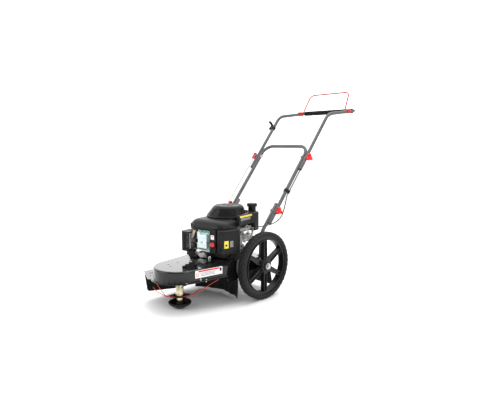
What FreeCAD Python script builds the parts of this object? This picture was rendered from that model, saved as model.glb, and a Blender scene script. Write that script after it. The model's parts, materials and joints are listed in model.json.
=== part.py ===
"""Walk-behind wheeled string trimmer: deck, belt drive, string head, engine, wheels and folding handle.

Millimetres. +Z is up, the machine faces -Y and +X is its left-hand wheel's side for the operator behind it.
Everything is drawn with y = 0 at the wheel axle and moved by AXLE_Y when it is written, which puts the
origin on the ground under the middle of the whole machine.
"""
import FreeCAD, Part
import math
import os

V = FreeCAD.Vector
X_AXIS = V(1, 0, 0)
Y_AXIS = V(0, 1, 0)
Z_AXIS = V(0, 0, 1)

# ---------------------------------------------------------------- driving dimensions
AXLE_Y = -196.0            # axle position in the finished frame

WHEEL_R = 178.0            # 14 inch wheel
WHEEL_X = 208.0            # centre plane of each wheel
TYRE_W = 44.0
TYRE_DEPTH = 22.0
RIM_DEPTH = 20.0
HUB_R = 36.0
HUB_IN = 31.0              # the hub's boss reaches this far towards the machine
HUB_OUT = 27.0             # and this far outward
SPOKES = 6
AXLE_R = 7.94              # 5/8 inch axle
AXLE_HALF = 247.0

SPINDLE_Y = -394.0         # string head axis
CRANK_Y = -60.0            # engine axis
ENGINE_TURN = 10.0         # the engine is bolted on turned by this angle
RUN = 0.06                 # radial running clearance
GAP = 0.4                  # clearance between faces on different bodies

PLATE_Z = 155.0            # underside of the base plate
PLATE_T = 3.0
DECK_TOP = 214.0           # engine mounting face
NOSE_R = 127.0             # round nose of the belt cover
DECK_HALF = 162.0          # half width of the engine box
BOX_FRONT = -190.0
BOX_REAR = 62.0

SKIRT_X = -211.0           # right-hand skirt
SKIRT_FRONT = -464.0
SKIRT_REAR = -190.0         # clear of the right wheel

PULLEY_Z = 183.0           # belt plane
SPINDLE_PITCH = 36.0       # belt pitch radius at the spindle
ENGINE_PITCH = 30.0        # belt pitch radius at the engine
BELT_W = 12.0
BELT_T = 8.0

LINE_R = 1.8
HEAD_TURN = 57.0           # the head stands turned by this angle
PLATE_LOW_Z = 55.5         # underside of the lower string plate
STRING_PLATE_T = 2.0
STRING_GAP = 5.0           # between the two plates
LINE_Z = PLATE_LOW_Z + STRING_PLATE_T + STRING_GAP / 2
HUB_Z = PLATE_LOW_Z + 2 * STRING_PLATE_T + STRING_GAP
COLLAR_R = 15.0            # the strings wrap this collar
BEAD_R = 57.5

TUBE_R = 10.0              # handle tubes
POST_X = 149.0
LOWER_X = 169.6
UPPER_X = 190.2
LEG_ANGLE = 50.5           # handle slope
LEG_Y = 373.0              # the upper knob's place on the leg line
LEG_Z = 736.0
LOWER_PIVOT_Z = 449.0
BEND_Z = 991.0
BAR_Y = 905.0
BAR_Z = 1030.0
BAIL_Y = 800.0
BAIL_Z = 1020.0
BAIL_X = 174.0
BAIL_R = 4.0


# ---------------------------------------------------------------- helpers
def leg(z):
    """Point of the handle's leg line, as (y, z), at height z."""
    return LEG_Y + (z - LEG_Z) / math.tan(math.radians(LEG_ANGLE)), z


def leg_at_y(y):
    """Height of the leg line at y."""
    return LEG_Z + (y - LEG_Y) * math.tan(math.radians(LEG_ANGLE))


def cylinder(radius, start, direction, length):
    return Part.makeCylinder(radius, length, V(*start), direction)


def ring(outer, inner, start, direction, length):
    return cylinder(outer, start, direction, length).cut(cylinder(inner, start, direction, length))


def block(x0, x1, y0, y1, z0, z1):
    return Part.makeBox(x1 - x0, y1 - y0, z1 - z0, V(x0, y0, z0))


def rounded_wire(points, radii, closed=True):
    """Straight runs joined by tangent arcs: one radius for each inner corner, or for each corner if closed."""
    pts = [V(*p) for p in points]
    n = len(pts)
    corners = range(n) if closed else range(1, n - 1)
    cuts = {}
    for i in corners:
        radius = radii[i] if closed else radii[i - 1]
        before = (pts[i - 1] - pts[i]).normalize()
        after = (pts[(i + 1) % n] - pts[i]).normalize()
        half = before.getAngle(after) / 2
        if radius <= 0 or half > math.pi / 2 - 1e-4:
            cuts[i] = (pts[i], None, pts[i])
            continue
        reach = radius / math.tan(half)
        middle = (before + after).normalize()
        centre = pts[i] + middle * (radius / math.sin(half))
        cuts[i] = (pts[i] + before * reach, centre - middle * radius, pts[i] + after * reach)
    if not closed:
        cuts[0] = (pts[0], None, pts[0])
        cuts[n - 1] = (pts[-1], None, pts[-1])
    edges = []
    for i in range(n):
        start, mid, end = cuts[i]
        if mid is not None:
            edges.append(Part.Arc(start, mid, end).toShape())
        if i == n - 1 and not closed:
            break
        following = cuts[(i + 1) % n][0]
        if (following - end).Length > 1e-6:
            edges.append(Part.LineSegment(end, following).toShape())
    return Part.Wire(edges)


def prism(points, radii, z0, z1):
    """Upright prism over a rounded outline of (x, y) points."""
    wire = rounded_wire([(x, y, z0) for x, y in points], radii)
    return Part.Face(wire).extrude(V(0, 0, z1 - z0))


def soft_prism(points, radii, z0, z1, edge_r, top=True, bottom=False):
    """Prism whose top and bottom rims are rounded."""
    body = prism(points, radii, z0, z1)
    rims = []
    for edge in body.Edges:
        box = edge.BoundBox
        on_top = abs(box.ZMin - z1) < 1e-6 and abs(box.ZMax - z1) < 1e-6
        on_floor = abs(box.ZMin - z0) < 1e-6 and abs(box.ZMax - z0) < 1e-6
        if (top and on_top) or (bottom and on_floor):
            rims.append(edge)
    return body.makeFillet(edge_r, rims)


def soft_block(x0, x1, y0, y1, z0, z1, r):
    """Block with every edge rounded."""
    body = block(x0, x1, y0, y1, z0, z1)
    return body.makeFillet(r, body.Edges)


def sweep(path, radius):
    """Round bar along a wire."""
    first = path.Edges[0]
    start = first.valueAt(first.FirstParameter)
    tangent = first.tangentAt(first.FirstParameter)
    circle = Part.Wire([Part.makeCircle(radius, start, tangent)])
    bar = path.makePipeShell([circle], True, True)
    if bar.Volume < 0:
        bar.reverse()
    return bar


def bar_along(points, radii, radius):
    return sweep(rounded_wire(points, radii, closed=False), radius)


def tube_along(points, radii, radius, wall):
    path = rounded_wire(points, radii, closed=False)
    return sweep(path, radius).cut(sweep(path, radius - wall))


def spun(profile, axis_y=0.0, axis_x=0.0):
    """Solid of revolution about the vertical through (axis_x, axis_y); profile is (radius, z) points."""
    pts = [V(axis_x + r, axis_y, z) for r, z in profile]
    face = Part.Face(Part.makePolygon(pts + [pts[0]]))
    return face.revolve(V(axis_x, axis_y, 0), Z_AXIS, 360)


def hexagon(across, start, direction, length):
    """Hexagon bar, for nuts and bolt heads."""
    radius = across / math.sqrt(3)
    pts = []
    for i in range(7):
        a = math.radians(60 * i)
        pts.append(V(radius * math.cos(a), radius * math.sin(a), 0))
    bar = Part.Face(Part.makePolygon(pts)).extrude(V(0, 0, length))
    bar.Placement = FreeCAD.Placement(V(*start), FreeCAD.Rotation(Z_AXIS, direction))
    return bar


def bolt(head, across, grip, shank_r, start, direction):
    """Hex bolt: head height, width across flats, shank length. start is under the head."""
    body = cylinder(shank_r, start, direction, grip)
    under = V(*start) - direction * head
    return body.fuse(hexagon(across, tuple(under), direction, head))


def mirrored(shape):
    """The same piece on the other side of the machine."""
    return shape.mirror(V(0, 0, 0), X_AXIS)


def engine_place(shape):
    """From the engine's own axes to the machine: turned about the crankshaft."""
    moved = shape.copy()
    moved.rotate(V(0, 0, 0), Z_AXIS, ENGINE_TURN)
    moved.translate(V(0, CRANK_Y, 0))
    return moved


def engine_point(x, y, z):
    a = math.radians(ENGINE_TURN)
    return x * math.cos(a) - y * math.sin(a), CRANK_Y + x * math.sin(a) + y * math.cos(a), z


def group(solids):
    return Part.makeCompound(solids)


# ---------------------------------------------------------------- deck
COVER_T = 2.0
GUSSET_FRONT = -222.0
SCREW_R = 2.5              # cover screws
LEDGE_HOLE_R = 4.0         # hole and slot in the ledge for an accessory's two bolts
LEDGE_HOLE_X = -111.0
LEDGE_HOLE_Y = -489.0
LEDGE_SLOT_X = -153.0
LEDGE_SLOT_Y = -448.0
LEDGE_SLOT_L = 15.0
FLARE = 7.6                # the cover's sides open towards the rear by this angle


def nose_outline(radius, rear_half, rear_y):
    """Outline of the cover: a round nose about the spindle and straight sides to the rear corners."""
    a = math.radians(FLARE)
    left = V(radius * math.cos(a), SPINDLE_Y - radius * math.sin(a), 0)
    right = V(-left.x, left.y, 0)
    front = V(0, SPINDLE_Y - radius, 0)
    rear_left = V(rear_half, rear_y, 0)
    rear_right = V(-rear_half, rear_y, 0)
    return Part.Wire([
        Part.Arc(right, front, left).toShape(),
        Part.LineSegment(left, rear_left).toShape(),
        Part.LineSegment(rear_left, rear_right).toShape(),
        Part.LineSegment(rear_right, right).toShape(),
    ])


def lifted(wire, z0, z1):
    body = Part.Face(wire).extrude(V(0, 0, z1 - z0))
    body.translate(V(0, 0, z0))
    return body


def belt_cover():
    """Pressed cover over the belt: open below and at the back, a flange round its foot, vents on top."""
    outer = lifted(nose_outline(NOSE_R, DECK_HALF, BOX_FRONT), PLATE_Z + PLATE_T, DECK_TOP + COVER_T)
    rims = []
    for edge in outer.Edges:
        box = edge.BoundBox
        if box.ZMin > DECK_TOP + COVER_T - 0.01 and box.YMin < BOX_FRONT - 1:
            rims.append(edge)
    outer = outer.makeFillet(9.0, rims)
    inner_wire = nose_outline(NOSE_R - COVER_T, DECK_HALF - COVER_T, BOX_FRONT + 1)
    inner = lifted(inner_wire, PLATE_Z, DECK_TOP)
    top_rims = []
    for edge in inner.Edges:
        box = edge.BoundBox
        if box.ZMin > DECK_TOP - 0.01 and box.YMin < BOX_FRONT:
            top_rims.append(edge)
    inner = inner.makeFillet(7.0, top_rims)
    flange = lifted(nose_outline(NOSE_R + 9, DECK_HALF + 4, BOX_FRONT), PLATE_Z + PLATE_T, PLATE_Z + PLATE_T + COVER_T)
    shell = outer.fuse(flange).cut(inner)
    for x, y in ((-47, -31), (-12, -44), (-45, 24)):
        shell = shell.cut(cylinder(4.5, (x, SPINDLE_Y + y, DECK_TOP - 5), Z_AXIS, 12))
    for x, y in cover_screw_places():
        shell = shell.cut(cylinder(SCREW_R + 0.1, (x, y, PLATE_Z), Z_AXIS, 10))
    shell = shell.cut(block(DECK_HALF - 0.3, DECK_HALF + 10, GUSSET_FRONT - 4, BOX_FRONT + 1, PLATE_Z, DECK_TOP + 20))
    return shell.removeSplitter()


def base_plate():
    nose = lifted(nose_outline(NOSE_R + 12, DECK_HALF + 4, BOX_FRONT), PLATE_Z, PLATE_Z + PLATE_T)
    rear = block(-DECK_HALF - 4, DECK_HALF + 4, BOX_FRONT, BOX_REAR, PLATE_Z, PLATE_Z + PLATE_T)
    return nose.fuse(rear)


def deck_shell():
    """Base plate, engine box, their gusset and the angles that carry both flaps, welded into one."""
    box = block(-DECK_HALF, DECK_HALF, BOX_FRONT, BOX_REAR, PLATE_Z, DECK_TOP)
    hollow = block(-DECK_HALF + 3, DECK_HALF - 3, BOX_FRONT - 1, BOX_REAR - 3, PLATE_Z - 1, DECK_TOP - 3)
    gusset_wire = rounded_wire(
        [(DECK_HALF, GUSSET_FRONT, PLATE_Z - 28), (DECK_HALF, -150, PLATE_Z - 28),
         (DECK_HALF, -120, DECK_TOP + 14), (DECK_HALF, -205, DECK_TOP + 14)], [12, 12, 10, 10])
    gusset = Part.Face(gusset_wire).extrude(V(3.5, 0, 0))
    body = base_plate().fuse([box.cut(hollow), gusset, flap_angle()] + rear_flap_hanger())

    body = body.cut(cylinder(28.2, (0, SPINDLE_Y, PLATE_Z - 1), Z_AXIS, 5))
    body = body.cut(cylinder(30, (0, CRANK_Y, PLATE_Z - 1), Z_AXIS, DECK_TOP - PLATE_Z + 2))
    body = body.cut(cylinder(AXLE_R + 0.1, (-200, 0, WHEEL_R), X_AXIS, 400))
    for x, y in spindle_bolt_places():
        body = body.cut(cylinder(4.2, (x, y, PLATE_Z - 1), Z_AXIS, 6))
    for x, y in engine_bolt_places():
        body = body.cut(cylinder(4.3, (x, y, DECK_TOP - 4), Z_AXIS, 6))
    for x, y in cover_screw_places():
        body = body.cut(cylinder(SCREW_R + 0.1, (x, y, PLATE_Z - 1), Z_AXIS, 6))
    return body.removeSplitter()


def side_skirt():
    """Bent sheet welded to the plate's right edge: a ledge with two holes and a skirt that hangs from it.

    Its rear end turns in, ahead of the wheel, to meet the flap.
    """
    top = PLATE_Z + PLATE_T
    ledge = prism(
        [(SKIRT_X, SKIRT_FRONT), (-72, -528), (-20, -470), (-100, SKIRT_REAR), (SKIRT_X, SKIRT_REAR)],
        [10, 14, 20, 0.0, 0.0], PLATE_Z, top)
    bottom_front = 46.0
    bottom_rear = 22.0
    outline = [(SKIRT_FRONT + 2, top), (SKIRT_FRONT + 18, bottom_front), (-274, bottom_rear),
               (SKIRT_REAR, bottom_rear), (SKIRT_REAR, top)]
    wire = rounded_wire([(SKIRT_X, y, z) for y, z in outline], [0.0, 18, 60, 12, 0.0])
    skirt = Part.Face(wire).extrude(V(3, 0, 0))
    curl = block(SKIRT_X, SKIRT_X + 14, -262, SKIRT_REAR - 14, bottom_rear, bottom_rear + 3)
    inward = block(SKIRT_X + 3, WHEEL_SIDE, SKIRT_REAR - 3, SKIRT_REAR, bottom_rear + 12, top)
    along = block(WHEEL_SIDE - 3, WHEEL_SIDE, SKIRT_REAR - 3, -154, bottom_rear + 12, top)
    body = ledge.cut(base_plate()).fuse([skirt, curl, inward, along])

    slot = block(LEDGE_SLOT_X - LEDGE_HOLE_R, LEDGE_SLOT_X + LEDGE_HOLE_R, LEDGE_SLOT_Y - LEDGE_SLOT_L,
                 LEDGE_SLOT_Y, PLATE_Z - 1, top + 1)
    for y in (LEDGE_SLOT_Y - LEDGE_SLOT_L, LEDGE_SLOT_Y):
        slot = slot.fuse(cylinder(LEDGE_HOLE_R, (LEDGE_SLOT_X, y, PLATE_Z - 1), Z_AXIS, PLATE_T + 2))
    hole = cylinder(LEDGE_HOLE_R, (LEDGE_HOLE_X, LEDGE_HOLE_Y, PLATE_Z - 1), Z_AXIS, PLATE_T + 2)
    return body.cut(slot).cut(hole).removeSplitter()


def cover_screw_places():
    """Screws in the middle of the cover's flange."""
    a = math.radians(-22)
    nose = ((NOSE_R + 5) * math.cos(a), SPINDLE_Y + (NOSE_R + 5) * math.sin(a))
    side = (DECK_HALF - 20, -340.0)
    return [nose, side, (-nose[0], nose[1]), (-side[0], side[1])]


def spindle_bolt_places():
    places = []
    for i in range(4):
        a = math.radians(45 + 90 * i)
        places.append((45 * math.cos(a), SPINDLE_Y + 45 * math.sin(a)))
    return places


ENGINE_PCD_R = 101.6       # engine bolts on an 8 inch circle


def engine_bolt_places():
    places = []
    for i in range(4):
        a = math.radians(45 + 90 * i)
        x, y, _ = engine_point(ENGINE_PCD_R * math.cos(a), ENGINE_PCD_R * math.sin(a), 0)
        places.append((x, y))
    return places


FLAP_R = 300.0             # inner face of the flap, about the spindle
FLAP_T = 4.0
FLAP_FROM = 62.5           # angles about the spindle, from +X
FLAP_TO = 126.5
FLAP_BOTTOM = 10.0
WHEEL_SIDE = -182.0         # nothing of the deck passes this plane beside the right wheel


def arc_wall(radius, thickness, start, end, z0, z1):
    """Upright curved wall about the spindle, between two angles."""
    wall = ring(radius + thickness, radius, (0, SPINDLE_Y, z0), Z_AXIS, z1 - z0)
    reach = 2 * radius
    corners = [(0.0, SPINDLE_Y)]
    for i in range(5):
        a = math.radians(start + (end - start) * i / 4)
        corners.append((reach * math.cos(a), SPINDLE_Y + reach * math.sin(a)))
    wedge = prism(corners, [0.0] * len(corners), z0, z1)
    return wall.common(wedge)


def debris_flap():
    """Rubber flap behind the string, hung from its angle."""
    wall = arc_wall(FLAP_R, FLAP_T, FLAP_FROM, FLAP_TO, FLAP_BOTTOM, PLATE_Z - 6)
    foot = arc_wall(FLAP_R - 7, 11, FLAP_FROM, FLAP_FROM + 1.6, FLAP_BOTTOM, FLAP_BOTTOM + 6)
    return wall.fuse(foot).removeSplitter()


def flap_angle():
    """Steel angle under the plate that the flap's top edge is bolted to."""
    strip = arc_wall(FLAP_R + FLAP_T + 0.05, 2.5, FLAP_FROM, FLAP_TO, PLATE_Z - 30, PLATE_Z)
    lip = arc_wall(FLAP_R + FLAP_T + 0.05, 18, FLAP_FROM, FLAP_TO, PLATE_Z - 2.5, PLATE_Z)
    beside_wheel = block(-300, WHEEL_SIDE - 1, -200, 100, 0, 300)
    return strip.fuse(lip).cut(beside_wheel).removeSplitter()


def rear_flap():
    """Rubber flap across the back of the engine box."""
    sheet = block(-148, 148, 112, 116, 26, 132)
    tilt = sheet.copy()
    tilt.rotate(V(0, 114, 132), X_AXIS, 12)
    return tilt


def rear_flap_hanger():
    """Strap from the box's rear edge to the flap's top."""
    arms = []
    for x in (-120, 120):
        arms.append(block(x - 12, x + 12, BOX_REAR, 119, PLATE_Z, PLATE_Z + 3))
        arms.append(block(x - 12, x + 12, 116.6, 119.6, 128, PLATE_Z + 3))
    return arms


# ---------------------------------------------------------------- string head and belt drive
def bearing(z):
    """Sealed ball bearing 20 x 42 x 12."""
    body = ring(21.0, 10.0, (0, SPINDLE_Y, z), Z_AXIS, 12)
    for face in (z, z + 11.3):
        body = body.cut(ring(18.5, 12.5, (0, SPINDLE_Y, face), Z_AXIS, 0.7))
    return body


def spindle_housing():
    """Cast housing bolted under the base plate, with a seat for a bearing at each end."""
    profile = [(19, 124), (29, 124), (30, 128), (30, 144), (36, 149), (58, 149), (58, PLATE_Z),
               (28, PLATE_Z), (28, 170), (19, 170)]
    body = spun(profile, SPINDLE_Y)
    body = body.cut(cylinder(21.0, (0, SPINDLE_Y, 126), Z_AXIS, 12.5))
    body = body.cut(cylinder(21.0, (0, SPINDLE_Y, 157), Z_AXIS, 14))
    for x, y in spindle_bolt_places():
        body = body.cut(cylinder(4.2, (x, y, 148), Z_AXIS, 8))
    return body


def spindle_shaft():
    """Turned shaft with the collar that spaces the two string plates."""
    shaft = cylinder(10.0 - 0.02, (0, SPINDLE_Y, PLATE_LOW_Z + 1), Z_AXIS, 201 - PLATE_LOW_Z)
    collar = cylinder(COLLAR_R, (0, SPINDLE_Y, PLATE_LOW_Z + STRING_PLATE_T), Z_AXIS, STRING_GAP)
    thread = cylinder(6.0, (0, SPINDLE_Y, 54), Z_AXIS, 38)
    return shaft.fuse(collar).cut(thread)


def pulley(axis_y, pitch, bore):
    """V-belt pulley about a vertical axis."""
    half = 9.0
    groove = BELT_W / 2 + 0.7
    rim = pitch + 7
    floor = pitch - BELT_T / 2 - 0.6
    profile = [(bore, PULLEY_Z - half), (rim, PULLEY_Z - half), (rim, PULLEY_Z - groove - 0.6),
               (floor, PULLEY_Z - groove), (floor, PULLEY_Z + groove), (rim, PULLEY_Z + groove + 0.6),
               (rim, PULLEY_Z + half), (bore, PULLEY_Z + half)]
    return spun(profile, axis_y)


def belt_outline(spindle_r, engine_r, z):
    """Open belt round two pulleys: two arcs and their outer tangents."""
    distance = CRANK_Y - SPINDLE_Y
    lean = math.asin((spindle_r - engine_r) / distance)
    sx = spindle_r * math.cos(lean)
    sy = SPINDLE_Y + spindle_r * math.sin(lean)
    ex = engine_r * math.cos(lean)
    ey = CRANK_Y + engine_r * math.sin(lean)
    return Part.Wire([
        Part.Arc(V(-sx, sy, z), V(0, SPINDLE_Y - spindle_r, z), V(sx, sy, z)).toShape(),
        Part.LineSegment(V(sx, sy, z), V(ex, ey, z)).toShape(),
        Part.Arc(V(ex, ey, z), V(0, CRANK_Y + engine_r, z), V(-ex, ey, z)).toShape(),
        Part.LineSegment(V(-ex, ey, z), V(-sx, sy, z)).toShape(),
    ])


def drive_belt():
    z0 = PULLEY_Z - BELT_W / 2
    half = BELT_T / 2
    outer = Part.Face(belt_outline(SPINDLE_PITCH + half, ENGINE_PITCH + half, z0))
    inner = Part.Face(belt_outline(SPINDLE_PITCH - half, ENGINE_PITCH - half, z0))
    return outer.extrude(V(0, 0, BELT_W)).cut(inner.extrude(V(0, 0, BELT_W)))


def head_hub():
    """Zinc-plated barrel that clamps the upper plate, with a cross hole for a locking pin."""
    body = spun([(10.0, HUB_Z), (21, HUB_Z), (21, HUB_Z + 7), (19, HUB_Z + 9), (19, 118), (17, 121), (10.0, 121)],
                SPINDLE_Y)
    return body.cut(cylinder(4.5, (-30, SPINDLE_Y, 106), X_AXIS, 60))


def head_point(along, across, z):
    """Point given in the head's own axes, in the machine's."""
    a = math.radians(HEAD_TURN)
    x = along * math.cos(a) - across * math.sin(a)
    y = along * math.sin(a) + across * math.cos(a)
    return (x, SPINDLE_Y + y, z)


def string_plates():
    """Two thin almond-shaped plates, a window in each end, that hold the line between them."""
    outline = [(-60, 0), (-18, -25), (18, -25), (60, 0), (18, 25), (-18, 25)]
    window = [(28, -11), (49, 0), (28, 11)]
    plates = []
    for z in (PLATE_LOW_Z, PLATE_LOW_Z + STRING_PLATE_T + STRING_GAP):
        plate = prism(outline, [6, 20, 20, 6, 20, 20], z, z + STRING_PLATE_T)
        for side in (1, -1):
            hole = prism([(side * x, side * y) for x, y in window], [2, 3, 2], z - 1, z + STRING_PLATE_T + 1)
            plate = plate.cut(hole)
        plate = plate.cut(cylinder(10.0, (0, 0, z - 1), Z_AXIS, STRING_PLATE_T + 2))
        plate.rotate(V(0, 0, 0), Z_AXIS, HEAD_TURN)
        plate.translate(V(0, SPINDLE_Y, 0))
        plates.append(plate)
    return group(plates)


def trimmer_strings():
    """Two lengths of line, one passed round each side of the collar: each leaves as two tails."""
    z = LINE_Z
    far = [(-113, 81, 112), (-97, 65, 85), (-68, 2.2, z), (-20, 17.6, z), (20, 17.6, z), (68, 2.2, z),
           (105, 34, 74), (146, 40, 76)]
    near = [(-127.6, 66, 92), (-112.6, 57, 72), (-68, -2.2, z), (-20, -17.6, z), (20, -17.6, z), (68, -2.2, z),
            (131.6, 13.9, 90), (168, 15, 109), (198, 10, 127)]
    first = bar_along([head_point(*p) for p in far], [30, 12, 40, 40, 20, 60], LINE_R)
    second = bar_along([head_point(*p) for p in near], [14, 20, 40, 40, 30, 90, 90], LINE_R)
    return group([first, second])


def glide_bolt():
    """Shoulder bolt that holds the lower plate and carries the bead on a plain bearing."""
    y = SPINDLE_Y
    sleeve = cylinder(15.0, (0, y, 24.6), Z_AXIS, PLATE_LOW_Z - 24.6)
    stud = cylinder(6.0, (0, y, 24.6), Z_AXIS, 62)
    journal = cylinder(8.0, (0, y, 5), Z_AXIS, 20)
    washer = cylinder(14.0, (0, y, 4.4), Z_AXIS, 2.2)
    head = hexagon(17, (0, y, 1.2), Z_AXIS, 3.4)
    return sleeve.fuse([stud, journal, washer, head]).removeSplitter()


def ground_bead():
    """Dished glide under the head: it turns freely on its bolt and carries the front of the machine."""
    profile = [(8.0 + RUN, 7.2), (15.2, 7.2), (15.2, 0), (21, 0), (32, 6), (46, 14.5), (55, 22), (BEAD_R, 27),
               (56.5, 31), (53, 31.5), (45, 22), (34, 15), (24, 12), (20, 14), (18, 24), (8.0 + RUN, 24)]
    return spun(profile, SPINDLE_Y)


# ---------------------------------------------------------------- wheels
def wheel_rim():
    """Moulded wheel about the X axis at the origin."""
    outer_r = WHEEL_R - TYRE_DEPTH
    inner_r = outer_r - RIM_DEPTH
    half = TYRE_W / 2 - 3
    start = (-half, 0, 0)
    body = ring(outer_r, inner_r, start, X_AXIS, 2 * half)
    for side in (-half - 1, half - 6):
        body = body.cut(ring(outer_r - 4, inner_r + 4, (side, 0, 0), X_AXIS, 7))
    hub = cylinder(HUB_R, (-20, 0, 0), X_AXIS, 40)
    boss = cylinder(24, (-HUB_IN, 0, 0), X_AXIS, HUB_IN + HUB_OUT)
    body = body.fuse([hub, boss])
    for i in range(SPOKES):
        inner = HUB_R - 6
        outer = inner_r + 2
        wide = 14.0
        narrow = 11.0
        wire = Part.makePolygon([V(0, -wide, inner), V(0, wide, inner), V(0, narrow, outer), V(0, -narrow, outer),
                                 V(0, -wide, inner)])
        spoke = Part.Face(wire).extrude(V(24, 0, 0))
        spoke.translate(V(-12, 0, 0))
        pocket_wire = Part.makePolygon([
            V(0, 4 - wide, inner + 12), V(0, wide - 4, inner + 12), V(0, narrow - 4, outer - 6),
            V(0, 4 - narrow, outer - 6), V(0, 4 - wide, inner + 12)])
        pocket = Part.Face(pocket_wire).extrude(V(8, 0, 0))
        for side in (-13, 5):
            one = pocket.copy()
            one.translate(V(side, 0, 0))
            spoke = spoke.cut(one)
        spoke.rotate(V(0, 0, 0), X_AXIS, 360.0 * i / SPOKES)
        body = body.fuse(spoke)
    return body.cut(cylinder(AXLE_R + RUN, (-40, 0, 0), X_AXIS, 80)).removeSplitter()


def wheel_tyre():
    """Solid rubber tyre with rounded shoulders and two tread grooves."""
    inner = WHEEL_R - TYRE_DEPTH + 0.05
    half = TYRE_W / 2
    profile = [(-half + 2, inner), (-half, inner + 5), (-half, WHEEL_R - 9), (-half + 3, WHEEL_R - 3),
               (-half + 8, WHEEL_R), (-9, WHEEL_R), (-8, WHEEL_R - 3), (-5, WHEEL_R - 3), (-4, WHEEL_R),
               (4, WHEEL_R), (5, WHEEL_R - 3), (8, WHEEL_R - 3), (9, WHEEL_R), (half - 8, WHEEL_R),
               (half - 3, WHEEL_R - 3), (half, WHEEL_R - 9), (half, inner + 5), (half - 2, inner)]
    pts = [V(x, 0, r) for x, r in profile]
    face = Part.Face(Part.makePolygon(pts + [pts[0]]))
    return face.revolve(V(0, 0, 0), X_AXIS, 360)


def at_wheel(shape, side):
    moved = shape.copy()
    moved.translate(V(side * WHEEL_X, 0, WHEEL_R))
    return moved


def axle():
    return cylinder(AXLE_R, (-AXLE_HALF, 0, WHEEL_R), X_AXIS, 2 * AXLE_HALF)


# ---------------------------------------------------------------- engine, in its own axes
CRANK_R = 11.1
CRANK_BOTTOM = 166.0
CRANK_TOP = 428.0
BLOWER_Z = 375.0
BLOWER_TOP = 424.0
FILTER_X = 78.4            # inner side of the air filter's cover
FILTER_BOTTOM = 265.0
FILTER_TOP = 385.0
BLOWER_OUTLINE = [(-132, -196), (124, -196), (103, 20), (66, 104), (-76, 104), (-132, 30)]
BLOWER_RADII = [62, 55, 60, 56, 60, 62]


def crankcase():
    """Aluminium crankcase, sump and finned cylinder in one casting."""
    foot = cylinder(112, (0, 0, DECK_TOP), Z_AXIS, 10)
    foot = foot.common(block(-92, 92, -92, 92, DECK_TOP, DECK_TOP + 10))
    sump = cylinder(84, (0, 0, DECK_TOP), Z_AXIS, 40)
    split = cylinder(88, (0, 0, DECK_TOP + 40), Z_AXIS, 8)
    upper = cylinder(76, (0, 0, DECK_TOP + 48), Z_AXIS, 92)
    barrel = block(-46, 46, -160, 0, 280, 362)
    chest = soft_block(-62, 62, -112, -20, DECK_TOP + 2, 268, 8)
    lug = soft_block(-90, -24, -152, -100, DECK_TOP + 5, DECK_TOP + 33, 6)
    body = foot.fuse([sump, split, upper, barrel, chest, lug])
    for i in range(6):
        y = -154 + 10 * i
        fin = block(-60, 60, y, y + 5, 270, 372).cut(block(-36, 36, y - 1, y + 6, 290, 352))
        body = body.cut(fin)
    for i in range(4):
        a = math.radians(45 + 90 * i)
        place = (ENGINE_PCD_R * math.cos(a), ENGINE_PCD_R * math.sin(a), DECK_TOP - 1)
        body = body.cut(cylinder(4.3, place, Z_AXIS, 14))
    body = body.cut(cylinder(CRANK_R + RUN, (0, 0, DECK_TOP - 1), Z_AXIS, 200))
    return body.removeSplitter()


def crankshaft():
    shaft = cylinder(CRANK_R, (0, 0, CRANK_BOTTOM), Z_AXIS, CRANK_TOP - CRANK_BOTTOM)
    return shaft.cut(cylinder(4.0, (0, 0, CRANK_BOTTOM - 1), Z_AXIS, 22))


def flywheel():
    """Flywheel with cast fan blades."""
    body = ring(86, CRANK_R, (0, 0, 374), Z_AXIS, 12).fuse(ring(24, CRANK_R, (0, 0, 374), Z_AXIS, 30))
    blades = []
    for i in range(16):
        blade = block(46, 85, -1.5, 1.5, 385, 404)
        blade.rotate(V(46, 0, 0), Z_AXIS, 22)
        blade.rotate(V(0, 0, 0), Z_AXIS, 360.0 * i / 16)
        blades.append(blade)
    return body.fuse(blades)


def cylinder_head():
    body = soft_block(-48, 44, -206, -160, 276, 366, 3)
    for i in range(3):
        y = -172 - 11 * i
        for z0, z1 in ((270, 284), (358, 372)):
            body = body.cut(block(-60, 60, y - 5, y, z0, z1))
    port = cylinder(13, (-70, -184, 312), X_AXIS, 24)
    return body.fuse(port).removeSplitter()


def valve_cover():
    """Pressed cover on the end of the head."""
    plate = soft_block(-23, 39, -209, -206, 281, 366, 1)
    bulge = soft_block(-20, 36, -236, -207, 286, 361, 9)
    return plate.fuse(bulge).removeSplitter()


def spark_plug():
    """Plug in the head's face beside the cover, with its rubber boot."""
    shell = hexagon(16, (-39.5, -206, 322), V(0, -1, 0), 9)
    boot = cylinder(7, (-39.5, -215, 322), V(0, -1, 0), 17)
    elbow = cylinder(6, (-39.5, -226, 322), Z_AXIS, 26)
    return shell.fuse([boot, elbow]).removeSplitter()


def muffler():
    """Inner can of the exhaust, fed by the port."""
    can = soft_block(-126, -82, -222, -156, 270, 358, 6)
    pipe = cylinder(11, (-84, -184, 312), X_AXIS, 14)
    return can.fuse(pipe).removeSplitter()


GUARD = (-136.0, -74.0, -232.0, -150.0, 262.0, 365.0)


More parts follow.
